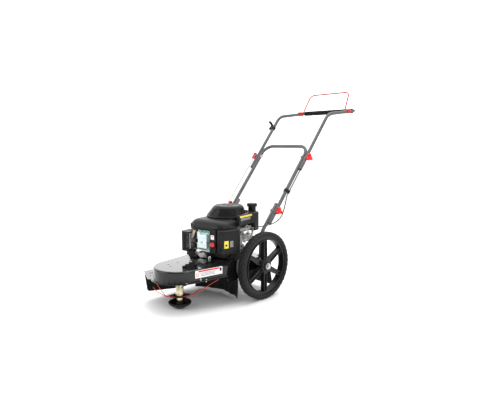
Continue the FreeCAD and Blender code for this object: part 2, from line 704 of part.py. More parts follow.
def muffler_guard():
    """Pressed guard round the muffler, with a stack of slots, open behind and to the head."""
    x0, x1, y0, y1, z0, z1 = GUARD
    outer = prism([(x0, y0), (x1, y0), (x1, y1), (x0, y1)], [14, 6, 0.0, 12], z0, z1)
    inner = prism([(x0 + 2, y0 + 2), (x1 + 4, y0 + 2), (x1 + 4, y1 + 4), (x0 + 2, y1 + 4)], [12, 0.0, 0.0, 0.0],
                  z0 + 2, z1 - 2)
    shell = outer.cut(inner)
    slots = 9
    for i in range(slots):
        z = z0 + 14 + i * (z1 - z0 - 28) / (slots - 1)
        shell = shell.cut(block(x0 + 22, x1 - 7, y0 - 1, y0 + 5, z - 2.2, z + 2.2))
    leg_x = x0 + 14
    strap = block(leg_x, leg_x + 26, y0 + 56, y0 + 59, DECK_TOP + 4, z0 + 1)
    foot = block(leg_x, leg_x + 26, y0 + 56, y0 + 80, DECK_TOP + 4, DECK_TOP + 7)
    return shell.fuse([strap, foot]).removeSplitter()


def dome(outset, z0, z1, fillet):
    """The blower housing's outer form, offset outward by outset."""
    wire = rounded_wire([(x, y, z0) for x, y in BLOWER_OUTLINE], BLOWER_RADII)
    if outset:
        wire = wire.makeOffset2D(outset)
    body = Part.Face(wire).extrude(V(0, 0, z1 - z0))
    if fillet:
        rims = [e for e in body.Edges if e.BoundBox.ZMin > z1 - 1e-3]
        body = body.makeFillet(fillet, rims)
    return body


def blower_housing():
    """Moulded housing over the flywheel and cylinder: open below, air intake on top."""
    outer = dome(0, BLOWER_Z, BLOWER_TOP, 44)
    inner = dome(-3, BLOWER_Z - 1, BLOWER_TOP - 3, 41)
    shell = outer.cut(inner).cut(cylinder(62, (0, 0, BLOWER_TOP - 20), Z_AXIS, 30))
    over_filter = block(FILTER_X - 20, 200, -240, -88, BLOWER_Z - 5, FILTER_TOP + 3)
    return shell.cut(over_filter).removeSplitter()


RECOIL_TOP = 485.0
CONE_Z = 430.0             # the starter cover is straight up to here, then leans in
CONE_TOP_Z = 479.0
CONE_R = 110.0
CONE_TOP_R = 80.0
CONE_SHIFT = -6.4          # the cone's foot is off the crank's axis by this in x and in y


def recoil_form(outset, z0, flat_top):
    """Starter cover's outer form offset by outset: a straight foot, an oblique cone and a flat top."""
    foot = cylinder(CONE_R + outset, (CONE_SHIFT, CONE_SHIFT, z0), Z_AXIS, CONE_Z - z0)
    low = Part.Wire(Part.makeCircle(CONE_R + outset, V(CONE_SHIFT, CONE_SHIFT, CONE_Z), Z_AXIS))
    high = Part.Wire(Part.makeCircle(CONE_TOP_R + outset, V(0, 0, CONE_TOP_Z), Z_AXIS))
    cone = Part.makeLoft([low, high], True, True)
    cap_r = CONE_TOP_R + outset
    cap = spun([(0, CONE_TOP_Z), (cap_r, CONE_TOP_Z), (cap_r - 4, flat_top - 1), (cap_r - 10, flat_top),
                (0, flat_top)])
    return foot.fuse([cone, cap])


def recoil_cover():
    """Starter cover: a tapered cap with intake slots and the rope's exit on its top."""
    shell = recoil_form(0.0, 412.0, RECOIL_TOP)
    shell = shell.cut(recoil_form(-3.0, 408.0, RECOIL_TOP - 3)).cut(dome(0, BLOWER_Z, BLOWER_TOP, 44))
    for i in range(20):
        slot = block(74, 122, -3, 3, 440, 462)
        slot.rotate(V(0, 0, 0), Z_AXIS, 9 + 18.0 * i)
        shell = shell.cut(slot)
    boss = cylinder(6.9, (0, 0, 455), Z_AXIS, 30)
    exit_x, exit_y = ROPE_EXIT_LOCAL
    shell = shell.fuse(boss).cut(cylinder(6.0, (exit_x, exit_y, 470), Z_AXIS, 30))
    return shell.removeSplitter()


def recoil_pulley():
    """Rope drum of the starter, on the cover's centre post."""
    return spun([(7.0 + 0.05, 456), (58, 456), (58, 459), (52, 460), (52, 470), (58, 471), (58, 474), (7.05, 474)])


TANK_BOTTOM = 393.0
TANK_TOP = 447.0


def fuel_tank():
    """Blow-moulded tank round the rear left of the housing, hollow, with a filler neck."""
    outline = [(130, -78), (130, 118), (-6, 124), (-6, 60), (80, 20), (106, -78)]
    radii = [8, 26, 14, 10, 60, 6]
    outer = soft_prism(outline, radii, TANK_BOTTOM, TANK_TOP, 8)
    low = prism([(130, 56), (130, 118), (40, 122), (40, 90), (90, 56)], [10, 26, 14, 10, 10], 348, TANK_BOTTOM + 8)
    outer = outer.fuse(low).cut(dome(1.0, BLOWER_Z - 30, BLOWER_TOP + 40, 0)).cut(recoil_form(1.2, 388, RECOIL_TOP))
    neck = cylinder(17, (FUEL_CAP_X, FUEL_CAP_Y, 440), Z_AXIS, 24)
    throat = cylinder(13, (FUEL_CAP_X, FUEL_CAP_Y, 436), Z_AXIS, 40)
    core = soft_prism([(127, -60), (127, 115), (20, 120), (20, 112), (104, 60), (112, -60)], [3, 22, 3, 3, 30, 3],
                      TANK_BOTTOM + 3, TANK_TOP - 3, 2)
    core = core.common(soft_prism(outline, radii, TANK_BOTTOM - 3, TANK_TOP - 3, 2)).cut(dome(4.0, 300, 500, 0))
    core = core.cut(recoil_form(4.2, 360, RECOIL_TOP))
    return outer.fuse(neck).cut(core).cut(throat).removeSplitter()


FUEL_CAP_X = 92.0
FUEL_CAP_Y = 92.0


def fuel_cap():
    """Knurled cap that screws over the filler neck."""
    skirt_z = 450.0
    body = spun([(0, 466), (17.6, 466), (17.6, skirt_z), (21, skirt_z), (21, 472), (27, 474), (28, 478), (28, 488),
                 (25, 491), (0, 491)], FUEL_CAP_Y, FUEL_CAP_X)
    for i in range(24):
        a = math.radians(15 * i)
        x = FUEL_CAP_X + 28.6 * math.cos(a)
        y = FUEL_CAP_Y + 28.6 * math.sin(a)
        body = body.cut(cylinder(1.6, (x, y, 475), Z_AXIS, 20))
    return body


def air_filter_base():
    """Moulded panel beside the head that carries the primer and the filter."""
    edge = FILTER_X - GAP
    panel = block(40, edge, -211, -207.5, FILTER_BOTTOM + 3, FILTER_TOP)
    socket = block(44.6, edge, -207.5, -186, PRIMER_Z - 20, PRIMER_Z + 20)
    wall = block(60, edge, -207.5, -114, FILTER_BOTTOM + 7, FILTER_TOP)
    body = panel.fuse([socket, wall])
    return body.cut(cylinder(PRIMER_R + GAP, (PRIMER_X, -230, PRIMER_Z), Y_AXIS, 38)).removeSplitter()


PRIMER_X = 61.5
PRIMER_Z = 311.0
PRIMER_R = 14.0


def primer_bulb():
    """Soft bulb that is pressed in to prime the carburettor."""
    pts = [(0, -229), (6, -228), (11, -224.5), (13.4, -219), (PRIMER_R, -213), (PRIMER_R, -200), (0, -200)]
    face = Part.Face(Part.makePolygon([V(PRIMER_X + r, y, PRIMER_Z) for r, y in pts + [pts[0]]]))
    return face.revolve(V(PRIMER_X, 0, PRIMER_Z), Y_AXIS, 360)


def air_filter_cover():
    """Snap-on cover of the air filter, its outer face slanted."""
    outline = [(FILTER_X, -205), (120, -207), (160, -118), (150, -97), (FILTER_X, -97)]
    outer = soft_prism(outline, [7, 12, 14, 10, 7], FILTER_BOTTOM, FILTER_TOP, 6, top=True, bottom=True)
    inside = [(FILTER_X - 1, -199), (116, -201), (154, -119), (146, -102), (FILTER_X - 1, -102)]
    core = prism(inside, [2, 6, 9, 5, 2], FILTER_BOTTOM + 5, FILTER_TOP - 5)
    return outer.cut(core).removeSplitter()


def carburettor():
    """Die-cast carburettor behind the filter, with its float bowl."""
    body = soft_block(74, 112, -92, -52, 292, 342, 4)
    throat = cylinder(16, (93, -95.5, 318), Y_AXIS, 60)
    bowl = cylinder(19, (93, -70, 268), Z_AXIS, 26)
    flange = soft_block(72, 116, -48, -42, 288, 346, 2)
    return body.fuse([throat, bowl, flange]).removeSplitter()


LEVER_X = 118.0
LEVER_Y = 20.0
SHELF_Z = 366.0            # underside of the control bracket's shelf
LEVER_Z = SHELF_Z + 3.6


def control_bracket():
    """Zinc-plated plate that carries the brake lever and the cable clamp."""
    shelf_top = SHELF_Z + 3
    upright = block(78, 106, -30, -27, 262, shelf_top).fuse(block(104, 107, -30, 46, 300, shelf_top))
    shelf = prism([(98, -94), (126, -94), (134, -60), (134, 48), (78, 48), (78, -30), (98, -50)],
                  [6, 8, 12, 8, 4, 4, 8], SHELF_Z, shelf_top)
    body = upright.fuse(shelf)
    body = body.cut(block(107, 119, -84, -62, SHELF_Z - 3, shelf_top + 3)).cut(block(100, 110, -8, 26, 316, 350))
    post = cylinder(4.0, (LEVER_X, LEVER_Y, SHELF_Z + 2), Z_AXIS, 9)
    clamp = block(126, 134, 36, 46, 340, shelf_top)
    return body.fuse([post, clamp]).removeSplitter()


def brake_lever():
    """Lever of the flywheel brake, pulled by the bail's cable."""
    top = LEVER_Z + 3.4
    arm = prism([(LEVER_X - 8, LEVER_Y - 8), (LEVER_X + 10, LEVER_Y - 8), (LEVER_X + 10, LEVER_Y + 6),
                 (LEVER_X - 8, LEVER_Y + 6)], [6, 6, 5, 5], LEVER_Z, top)
    reach = prism([(LEVER_X - 4, LEVER_Y - 84), (LEVER_X + 6, LEVER_Y - 84), (LEVER_X + 8, LEVER_Y),
                   (LEVER_X - 6, LEVER_Y)], [4, 4, 0.0, 0.0], LEVER_Z, top)
    return arm.fuse(reach).cut(cylinder(4.0 + RUN, (LEVER_X, LEVER_Y, LEVER_Z - 6), Z_AXIS, 20)).removeSplitter()


OIL_X = -66.0
OIL_Y = 66.0


def oil_cap():
    """Oil filler cap with its dipstick tube, at the rear right of the crankcase."""
    return spun([(0, 330), (16, 330), (18, 333), (18, 343), (15, 346), (0, 346)], OIL_Y + 30, OIL_X - 30)


def oil_tube():
    """Filler tube from the sump to the cap."""
    return bar_along([(OIL_X + 12, OIL_Y - 12, 240), (OIL_X - 30, OIL_Y + 30, 262), (OIL_X - 30, OIL_Y + 30, 329.6)],
                     [20], 13)


# ---------------------------------------------------------------- handle
WALL = 1.6


def handle_posts():
    """Two posts on the engine box: upright at the foot, then along the handle's slope."""
    top_y, top_z = leg(482.0)
    knee_y, knee_z = leg(332.0)
    post = tube_along([(POST_X, knee_y - 4, DECK_TOP), (POST_X, knee_y, knee_z), (POST_X, top_y, top_z)],
                      [90], TUBE_R, WALL)
    foot = ring(17, TUBE_R, (POST_X, knee_y - 4, DECK_TOP), Z_AXIS, 3)
    foot = foot.common(block(0, DECK_HALF, -200, 200, 0, 400))
    bolt_y, bolt_z = leg(LOWER_PIVOT_Z)
    post = post.fuse(foot).cut(cylinder(4.1, (POST_X - 20, bolt_y, bolt_z), X_AXIS, 40))
    return group([post, mirrored(post)])


def pivot_bolt(inner_x, knob_x, z):
    """Carriage bolt through two tubes, with its round head inside."""
    y, z = leg(z)
    head = cylinder(9.0, (inner_x - 3.5, y, z), X_AXIS, 3.2)
    shank = cylinder(4.0, (inner_x - 0.4, y, z), X_AXIS, knob_x - inner_x + 14)
    return head.fuse(shank)


LOWER_KNOB_X = LOWER_X + TUBE_R + 0.6
UPPER_KNOB_X = UPPER_X + TUBE_R + 0.6


def knob(x, z):
    """Three-lobed clamping knob with a blind nut bore."""
    y, z = leg(z)
    base = cylinder(11, (x, y, z), X_AXIS, 9)
    body = cylinder(13, (x + 6, y, z), X_AXIS, 14)
    lobes = []
    for i in range(3):
        a = math.radians(90 + 120 * i)
        lobe_y = y + 15 * math.cos(a)
        lobe_z = z + 15 * math.sin(a)
        lobes.append(cylinder(8.5, (x + 6, lobe_y, lobe_z), X_AXIS, 14))
    body = base.fuse([body] + lobes)
    return body.cut(cylinder(4.0 + RUN, (x - 1, y, z), X_AXIS, 16)).removeSplitter()


def lower_handle():
    """Inverted U outside the posts."""
    foot_y, foot_z = leg(385.0)
    bar_y, bar_z = leg(798.0)
    corner = 62.0
    tube = tube_along([(LOWER_X, foot_y, foot_z), (LOWER_X, bar_y, bar_z), (-LOWER_X, bar_y, bar_z),
                       (-LOWER_X, foot_y, foot_z)], [corner, corner], TUBE_R, WALL)
    for z in (LOWER_PIVOT_Z, LEG_Z):
        y, z = leg(z)
        tube = tube.cut(cylinder(4.1, (-LOWER_X - 20, y, z), X_AXIS, 2 * LOWER_X + 40))
    return tube


LEG_BEND = 95.0            # bend radii of the upper handle
HAND_CORNER = 52.0
GRIP_R = 15.0


def level_slope():
    """Rise per millimetre of the upper handle's nearly level part."""
    return (BAR_Z - BEND_Z) / (BAR_Y - leg(BEND_Z)[0])


def upper_path(side):
    """Half of the upper handle, from the lower end to the middle of the bar."""
    foot_y, foot_z = leg(669.0)
    bend_y, bend_z = leg(BEND_Z)
    return [(side * UPPER_X, foot_y, foot_z), (side * UPPER_X, bend_y, bend_z), (side * UPPER_X, BAR_Y, BAR_Z)]


def upper_handle():
    """U outside the lower handle, bent level behind and joined by the hand bar."""
    points = upper_path(1) + upper_path(-1)[::-1]
    tube = tube_along(points, [LEG_BEND, HAND_CORNER, HAND_CORNER, LEG_BEND], TUBE_R, WALL)
    y, z = leg(LEG_Z)
    return tube.cut(cylinder(4.1, (-UPPER_X - 20, y, z), X_AXIS, 2 * UPPER_X + 40))


def foam_grip():
    """Foam sleeve over the hand bar and both corners."""
    end_y = BAR_Y - HAND_CORNER - 2
    end_z = BAR_Z - (BAR_Y - end_y) * level_slope()
    points = [(UPPER_X, end_y, end_z), (UPPER_X, BAR_Y, BAR_Z), (-UPPER_X, BAR_Y, BAR_Z), (-UPPER_X, end_y, end_z)]
    return tube_along(points, [HAND_CORNER, HAND_CORNER], GRIP_R, GRIP_R - TUBE_R - 0.05)


def bail():
    """Bent rod whose ends pivot in the clamps."""
    inner = BAIL_X
    points = [(inner + 5, BAIL_Y, BAIL_Z), (inner - 8, BAIL_Y, BAIL_Z), (152, BAIL_Y + 72, BAIL_Z + 127),
              (-152, BAIL_Y + 72, BAIL_Z + 127), (8 - inner, BAIL_Y, BAIL_Z), (-5 - inner, BAIL_Y, BAIL_Z)]
    return bar_along(points, [7.5, 34, 34, 7.5], BAIL_R)


def bail_clamp():
    """Moulded saddle inside the tube that holds the bail's end."""
    saddle = soft_block(BAIL_X - 2, UPPER_X + 13, BAIL_Y - 13, BAIL_Y + 13, BAIL_Z - 14, BAIL_Z + 12, 3)
    tube_y0 = leg(BEND_Z)[0]
    slope = level_slope()
    direction = V(0, 1, slope).normalize()
    start = (UPPER_X, BAIL_Y - 40, BEND_Z + (BAIL_Y - 40 - tube_y0) * slope)
    saddle = saddle.cut(cylinder(TUBE_R + 0.02, start, direction, 80))
    return saddle.cut(cylinder(BAIL_R + RUN, (BAIL_X - 10, BAIL_Y, BAIL_Z), X_AXIS, 19))


# ---------------------------------------------------------------- starter rope and control cable
ROPE_R = 1.6
ROPE_EXIT = (-38.0, -30.0, 486.0)
GUIDE = (-215.0, 520.0, 915.0)
ROPE_SPLIT = 0.78          # share of the rope below the lower handle's bar


def rope_direction():
    return (V(*GUIDE) - V(*ROPE_EXIT)).normalize()


def rope_exit_local():
    """Rope exit in the engine's own axes."""
    a = math.radians(-ENGINE_TURN)
    x = ROPE_EXIT[0]
    y = ROPE_EXIT[1] - CRANK_Y
    return x * math.cos(a) - y * math.sin(a), x * math.sin(a) + y * math.cos(a)


ROPE_EXIT_LOCAL = rope_exit_local()


def starter_rope(share_from, share_to):
    start = V(*ROPE_EXIT)
    run = V(*GUIDE) - start
    first = start + run * share_from
    length = run.Length * (share_to - share_from)
    return cylinder(ROPE_R, tuple(first), rope_direction(), length)


def rope_guide():
    """Moulded ring on the right leg that keeps the rope and parks the grip."""
    direction = rope_direction()
    centre = V(*GUIDE)
    ring_body = cylinder(9.0, tuple(centre - direction * 8), direction, 16)
    y, z = GUIDE[1], leg_at_y(GUIDE[1])
    a = math.radians(LEG_ANGLE)
    along = V(0, math.cos(a), math.sin(a))
    band = cylinder(14.0, tuple(V(-UPPER_X, y, z) - along * 9), along, 18)
    body = band.fuse(ring_body)
    body = body.cut(cylinder(TUBE_R + 0.02, tuple(V(-UPPER_X, y, z) - along * 30), along, 60))
    return body.cut(cylinder(ROPE_R + 0.8, tuple(centre - direction * 20), direction, 40)).removeSplitter()


def starter_grip():
    """Hooked T-grip of the starter, parked on the guide."""
    direction = rope_direction()
    base = V(*GUIDE) + direction * 8.4
    stem = cylinder(8.0, tuple(base), direction, 16)
    up = V(0, -direction.z, direction.y).normalize()
    centre = base + direction * 22
    bar = bar_along([tuple(centre - up * 34 - direction * 6), tuple(centre - up * 14 + direction * 3),
                     tuple(centre + up * 14 + direction * 3), tuple(centre + up * 34 - direction * 6)],
                    [26, 26], 8.0)
    body = stem.fuse(bar)
    return body.cut(cylinder(ROPE_R + 0.4, tuple(base - direction * 2), direction, 14)).removeSplitter()


CABLE_R = 3.0
CABLE_JOIN = (180.0, 232.0, 545.0)
CABLE_LOWER = [
    (121, -8, 361), (124, 30, 366), (127, 70, 367), (132, 110, 367), (144, 142, 374), (162, 165, 391),
    (179, 176, 418), (187, 184, 452), (188, 200, 504), (180, 215.2, 525.26), CABLE_JOIN]
CABLE_UPPER = [
    CABLE_JOIN, (180, 272, 592), (180.3, 322, 653), (180, 373, 713), (179.7, 424, 776), (180, 476, 837),
    (180, 529, 904), (178, 566, 948), (175, 604, 975), (173, 652, 993), (172, 704, 1007), (172, 757, 1018)]


def cable(points):
    """Held cable: straight runs joined by the largest tangent arcs that fit."""
    pts = [V(*p) for p in points]
    radii = []
    for i in range(1, len(pts) - 1):
        before = pts[i - 1] - pts[i]
        after = pts[i + 1] - pts[i]
        turn = math.pi - before.getAngle(after)
        radii.append(0.45 * min(before.Length, after.Length) / math.tan(max(turn, 0.001) / 2))
    path = rounded_wire(points, radii, closed=False)
    body = sweep(path, CABLE_R)
    expected = math.pi * CABLE_R ** 2 * path.Length
    print("cable length %.0f radius min %.0f volume ratio %.4f" % (path.Length, min(radii), body.Volume / expected))
    return body


def cable_clip():
    """Moulded clip that ties the cable to the left leg."""
    y, z = leg(553.0)
    a = math.radians(LEG_ANGLE)
    along = V(0, math.cos(a), math.sin(a))
    start = V(LOWER_X, y, z) - along * 9
    band = cylinder(14.0, tuple(start), along, 18)
    arm = cylinder(6.5, tuple(V(*CABLE_JOIN) - along * 7), along, 18)
    body = band.fuse(arm).cut(cylinder(TUBE_R + 0.02, tuple(start - along * 20), along, 60))
    return body.removeSplitter()


# ---------------------------------------------------------------- fasteners
def chassis_fasteners():
    """Axle nuts and washers, axle spacers, engine, spindle, cover and flap bolts, handle pivot bolts."""
    solids = []
    for side in (-1, 1):
        direction = X_AXIS * side
        hub_end = side * (WHEEL_X + HUB_OUT + GAP)
        solids.append(ring(16, AXLE_R, (hub_end, 0, WHEEL_R), direction, 2))
        nut = hexagon(24, (hub_end + 2 * side, 0, WHEEL_R), direction, 7)
        solids.append(nut.cut(axle()))
    for x, y in spindle_bolt_places():
        solids.append(bolt(5, 13, 14, 4.0, (x, y, 149), Z_AXIS))
    for x, y in engine_bolt_places():
        solids.append(bolt(6, 13, 18, 4.0, (x, y, DECK_TOP + 10), V(0, 0, -1)))
    for x, y in cover_screw_places():
        head = cylinder(3.9, (x, y, PLATE_Z + PLATE_T + COVER_T), Z_AXIS, 3)
        solids.append(head.fuse(cylinder(SCREW_R, (x, y, PLATE_Z - 6), Z_AXIS, 12)))
    for angle in (70, 84, 98, 112):
        a = math.radians(angle)
        radial = V(math.cos(a), math.sin(a), 0)
        place = V(0, SPINDLE_Y, PLATE_Z - 20) + radial * (FLAP_R - 4 - GAP)
        solids.append(cylinder(5.5, tuple(place), radial, 4))
    for side in (-1, 1):
        one = pivot_bolt(POST_X - TUBE_R, LOWER_KNOB_X, LOWER_PIVOT_Z)
        solids.append(one if side > 0 else mirrored(one))
    return group(solids)


def upper_bolts():
    one = pivot_bolt(LOWER_X - TUBE_R, UPPER_KNOB_X, LEG_Z)
    return group([one, mirrored(one)])


# ---------------------------------------------------------------- assembly
def build_all():
    rim = wheel_rim()
    tyre = wheel_tyre()
    cable_lower = cable(CABLE_LOWER)
    cable_upper = cable(CABLE_UPPER)
    engine = {
        "crankcase": crankcase().fuse(oil_tube()),
        "crankshaft": crankshaft(),
        "flywheel": flywheel(),
        "cylinder_head": cylinder_head(),
        "valve_cover": valve_cover(),
        "spark_plug": spark_plug(),
        "muffler": muffler(),
        "muffler_guard": muffler_guard(),
        "blower_housing": blower_housing(),
        "recoil_cover": recoil_cover(),
        "recoil_pulley": recoil_pulley(),
        "fuel_tank": fuel_tank(),
        "fuel_cap": fuel_cap(),
        "air_filter_base": air_filter_base(),
        "air_filter_cover": air_filter_cover(),
        "carburettor": carburettor(),
        "primer_bulb": primer_bulb(),
        "control_bracket": control_bracket(),
        "brake_lever": brake_lever(),
        "oil_cap": oil_cap(),
    }
    nodes = {
        "deck_shell": deck_shell(),
        "side_skirt": side_skirt(),
        "belt_cover": belt_cover(),
        "debris_flap": debris_flap(),
        "rear_flap": rear_flap(),
        "axle": axle(),
        "handle_posts": handle_posts(),
        "chassis_fasteners": chassis_fasteners(),
        "spindle_housing": spindle_housing(),
        "spindle_bearings": group([bearing(126), bearing(158)]),
        "spindle_shaft": spindle_shaft(),
        "spindle_pulley": pulley(SPINDLE_Y, SPINDLE_PITCH, 10.0),
        "head_hub": head_hub(),
        "string_plates": string_plates(),
        "trimmer_strings": trimmer_strings(),
        "glide_bolt": glide_bolt(),
        "ground_bead": ground_bead(),
        "drive_belt": drive_belt(),
        "engine_pulley": pulley(CRANK_Y, ENGINE_PITCH, CRANK_R),
        "left_rim": at_wheel(rim, 1),
        "right_rim": mirrored(at_wheel(rim, 1)),
        "left_tyre": at_wheel(tyre, 1),
        "right_tyre": at_wheel(tyre, -1),
        "lower_handle": lower_handle(),
        "lower_knob_left": knob(LOWER_KNOB_X, LOWER_PIVOT_Z),
        "lower_knob_right": mirrored(knob(LOWER_KNOB_X, LOWER_PIVOT_Z)),
        "upper_handle": upper_handle(),
        "upper_bolts": upper_bolts(),
        "upper_knob_left": knob(UPPER_KNOB_X, LEG_Z),
        "upper_knob_right": mirrored(knob(UPPER_KNOB_X, LEG_Z)),
        "foam_grip": foam_grip(),
        "bail": bail(),
        "bail_clamps": group([bail_clamp(), mirrored(bail_clamp())]),
        "rope_guide": rope_guide(),
        "starter_grip": starter_grip(),
        "starter_rope_lower": starter_rope(0.0, ROPE_SPLIT),
        "starter_rope_upper": starter_rope(ROPE_SPLIT, 0.985),
        "cable_clip": cable_clip().cut(cable_lower).cut(cable_upper),
        "cable_lower": cable_lower,
        "cable_upper": cable_upper,
    }
    for name, shape in engine.items():
        nodes[name] = engine_place(shape)
    nodes["control_bracket"] = nodes["control_bracket"].cut(cable_lower)
    return nodes


def main():
    os.makedirs("parts", exist_ok=True)
    whole = FreeCAD.BoundBox()
    nodes = build_all()
    for name, shape in nodes.items():
        shape.translate(V(0, AXLE_Y, 0))
        if not shape.isValid() or shape.Volume <= 0:
            print("CHECK", name, shape.isValid(), shape.Volume)
        shape.exportStep("parts/" + name + ".step")
        whole.add(shape.BoundBox)
    print(len(nodes), "nodes", whole)


main()
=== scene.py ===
"""Looks of the walk-behind wheeled string trimmer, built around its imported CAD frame."""
import json
import math

import bmesh
import bpy
from mathutils import Matrix, Vector

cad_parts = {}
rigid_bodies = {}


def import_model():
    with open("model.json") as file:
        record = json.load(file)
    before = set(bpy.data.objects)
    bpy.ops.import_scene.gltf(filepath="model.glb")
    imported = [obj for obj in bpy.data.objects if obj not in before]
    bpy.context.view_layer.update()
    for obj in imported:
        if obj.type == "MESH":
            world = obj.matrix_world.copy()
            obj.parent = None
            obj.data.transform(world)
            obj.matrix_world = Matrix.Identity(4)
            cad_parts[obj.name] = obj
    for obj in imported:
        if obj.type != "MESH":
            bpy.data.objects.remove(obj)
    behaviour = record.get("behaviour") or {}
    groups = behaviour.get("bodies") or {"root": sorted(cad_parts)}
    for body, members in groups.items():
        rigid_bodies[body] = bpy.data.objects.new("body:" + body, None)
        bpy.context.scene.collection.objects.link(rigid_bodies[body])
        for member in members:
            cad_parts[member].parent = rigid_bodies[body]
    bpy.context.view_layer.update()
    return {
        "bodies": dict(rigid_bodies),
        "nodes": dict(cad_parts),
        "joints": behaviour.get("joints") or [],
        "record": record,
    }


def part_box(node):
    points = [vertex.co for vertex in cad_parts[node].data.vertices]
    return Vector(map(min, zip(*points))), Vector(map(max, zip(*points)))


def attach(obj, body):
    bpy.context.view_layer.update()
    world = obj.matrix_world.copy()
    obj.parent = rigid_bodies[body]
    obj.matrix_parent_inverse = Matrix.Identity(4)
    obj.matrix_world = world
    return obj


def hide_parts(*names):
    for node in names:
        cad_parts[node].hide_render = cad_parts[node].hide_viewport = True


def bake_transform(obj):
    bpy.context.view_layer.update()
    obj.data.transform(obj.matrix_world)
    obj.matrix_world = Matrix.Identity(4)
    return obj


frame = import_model()
NODES = frame["nodes"]

# ---------------------------------------------------------------- places, from the frame
MM = 0.001


def middle(node):
    low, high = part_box(node)
    return (low + high) / 2


AXLE = middle("axle")
CRANK = middle("flywheel")
ENGINE_TURN = math.radians(10)


def at(x, y, z):
    """A point given in millimetres from the ground point under the axle's middle."""
    return Vector((x * MM, AXLE.y + y * MM, z * MM))


# ---------------------------------------------------------------- materials
class Graph:
    """A short way to write a node tree."""

    def __init__(self, name):
        self.mat = bpy.data.materials.new(name)
        self.mat.use_nodes = True
        self.tree = self.mat.node_tree
        self.shader = self.tree.nodes["Principled BSDF"]
        coord = self.tree.nodes.new("ShaderNodeTexCoord")
        self.coord = coord.outputs["Object"]

    def add(self, kind, **values):
        node = self.tree.nodes.new(kind)
        for key, value in values.items():
            setattr(node, key, value)
        return node

    def link(self, out, into):
        self.tree.links.new(out, into)

    def noise(self, scale, detail=4.0, stretch=None, distortion=0.0):
        node = self.add("ShaderNodeTexNoise")
        node.inputs["Scale"].default_value = scale
        node.inputs["Detail"].default_value = detail
        node.inputs["Distortion"].default_value = distortion
        source = self.coord
        if stretch:
            mapping = self.add("ShaderNodeMapping")
            mapping.inputs["Scale"].default_value = stretch
            self.link(source, mapping.inputs["Vector"])
            source = mapping.outputs["Vector"]
        self.link(source, node.inputs["Vector"])
        return node.outputs["Fac"]

    def ramp(self, value, stops):
        node = self.add("ShaderNodeValToRGB")
        elements = node.color_ramp.elements
        while len(elements) < len(stops):
            elements.new(0.5)
        for element, (place, colour) in zip(elements, stops):
            element.position = place
            element.color = (*colour, 1.0)
        self.link(value, node.inputs["Fac"])
        return node.outputs["Color"]

    def span(self, value, low, high, from_low=0.3, from_high=0.7):
        node = self.add("ShaderNodeMapRange")
        node.inputs["From Min"].default_value = from_low
        node.inputs["From Max"].default_value = from_high
        node.inputs["To Min"].default_value = low
        node.inputs["To Max"].default_value = high
        self.link(value, node.inputs["Value"])
        return node.outputs["Result"]

    def mix(self, factor, a, b):
        node = self.add("ShaderNodeMix", data_type="RGBA")
        self.link(factor, node.inputs["Factor"])
        self.link(a, node.inputs["A"])
        self.link(b, node.inputs["B"])
        return node.outputs["Result"]

    def bump(self, height, strength, distance, base=None):
        node = self.add("ShaderNodeBump")
        node.inputs["Strength"].default_value = strength
        node.inputs["Distance"].default_value = distance
        self.link(height, node.inputs["Height"])
        if base is not None:
            self.link(base, node.inputs["Normal"])
        return node.outputs["Normal"]

    def set(self, **values):
        for key, value in values.items():
            self.shader.inputs[key.replace("_", " ")].default_value = value


def tint(colour, factor):
    return tuple(min(1.0, c * factor) for c in colour)


def finish_material(name, colour, rough, metallic=0.0, mottle=0.18, patch=14.0, grain=900.0,
                    grain_depth=0.00006, grain_strength=0.25, coat=0.0, dust=0.0,
                    dust_colour=(0.30, 0.29, 0.27), stretch=None, specular=0.5, sheen=0.0, coat_ior=1.5):
    """A procedural finish: mottled colour, uneven gloss, fine surface grain and a little settled dust."""
    g = Graph(name)
    broad = g.noise(patch, 5.0, stretch)
    colours = g.ramp(broad, [(0.3, tint(colour, 1 - mottle)), (0.7, tint(colour, 1 + mottle))])
    if dust:
        geometry = g.add("ShaderNodeNewGeometry")
        split = g.add("ShaderNodeSeparateXYZ")
        g.link(geometry.outputs["Normal"], split.inputs["Vector"])
        upward = g.span(split.outputs["Z"], 0.0, dust, 0.2, 1.0)
        patchy = g.span(g.noise(patch * 5, 6.0), 0.35, 1.0)
        product = g.add("ShaderNodeMath", operation="MULTIPLY")
        g.link(upward, product.inputs[0])
        g.link(patchy, product.inputs[1])
        film = g.ramp(broad, [(0.0, tint(dust_colour, 0.9)), (1.0, tint(dust_colour, 1.1))])
        colours = g.mix(product.outputs["Value"], colours, film)
    g.link(colours, g.shader.inputs["Base Color"])
    fine = g.noise(patch * 7, 6.0, stretch)
    g.link(g.span(fine, rough * 0.8, min(1.0, rough * 1.25)), g.shader.inputs["Roughness"])
    grit = g.noise(grain, 3.0, stretch)
    g.link(g.bump(grit, grain_strength, grain_depth), g.shader.inputs["Normal"])
    g.set(Metallic=metallic)
    g.shader.inputs["Coat Weight"].default_value = coat
    g.shader.inputs["Coat Roughness"].default_value = 0.05
    g.shader.inputs["Coat IOR"].default_value = coat_ior
    g.shader.inputs["Specular IOR Level"].default_value = specular
    g.shader.inputs["Sheen Weight"].default_value = sheen
    return g.mat


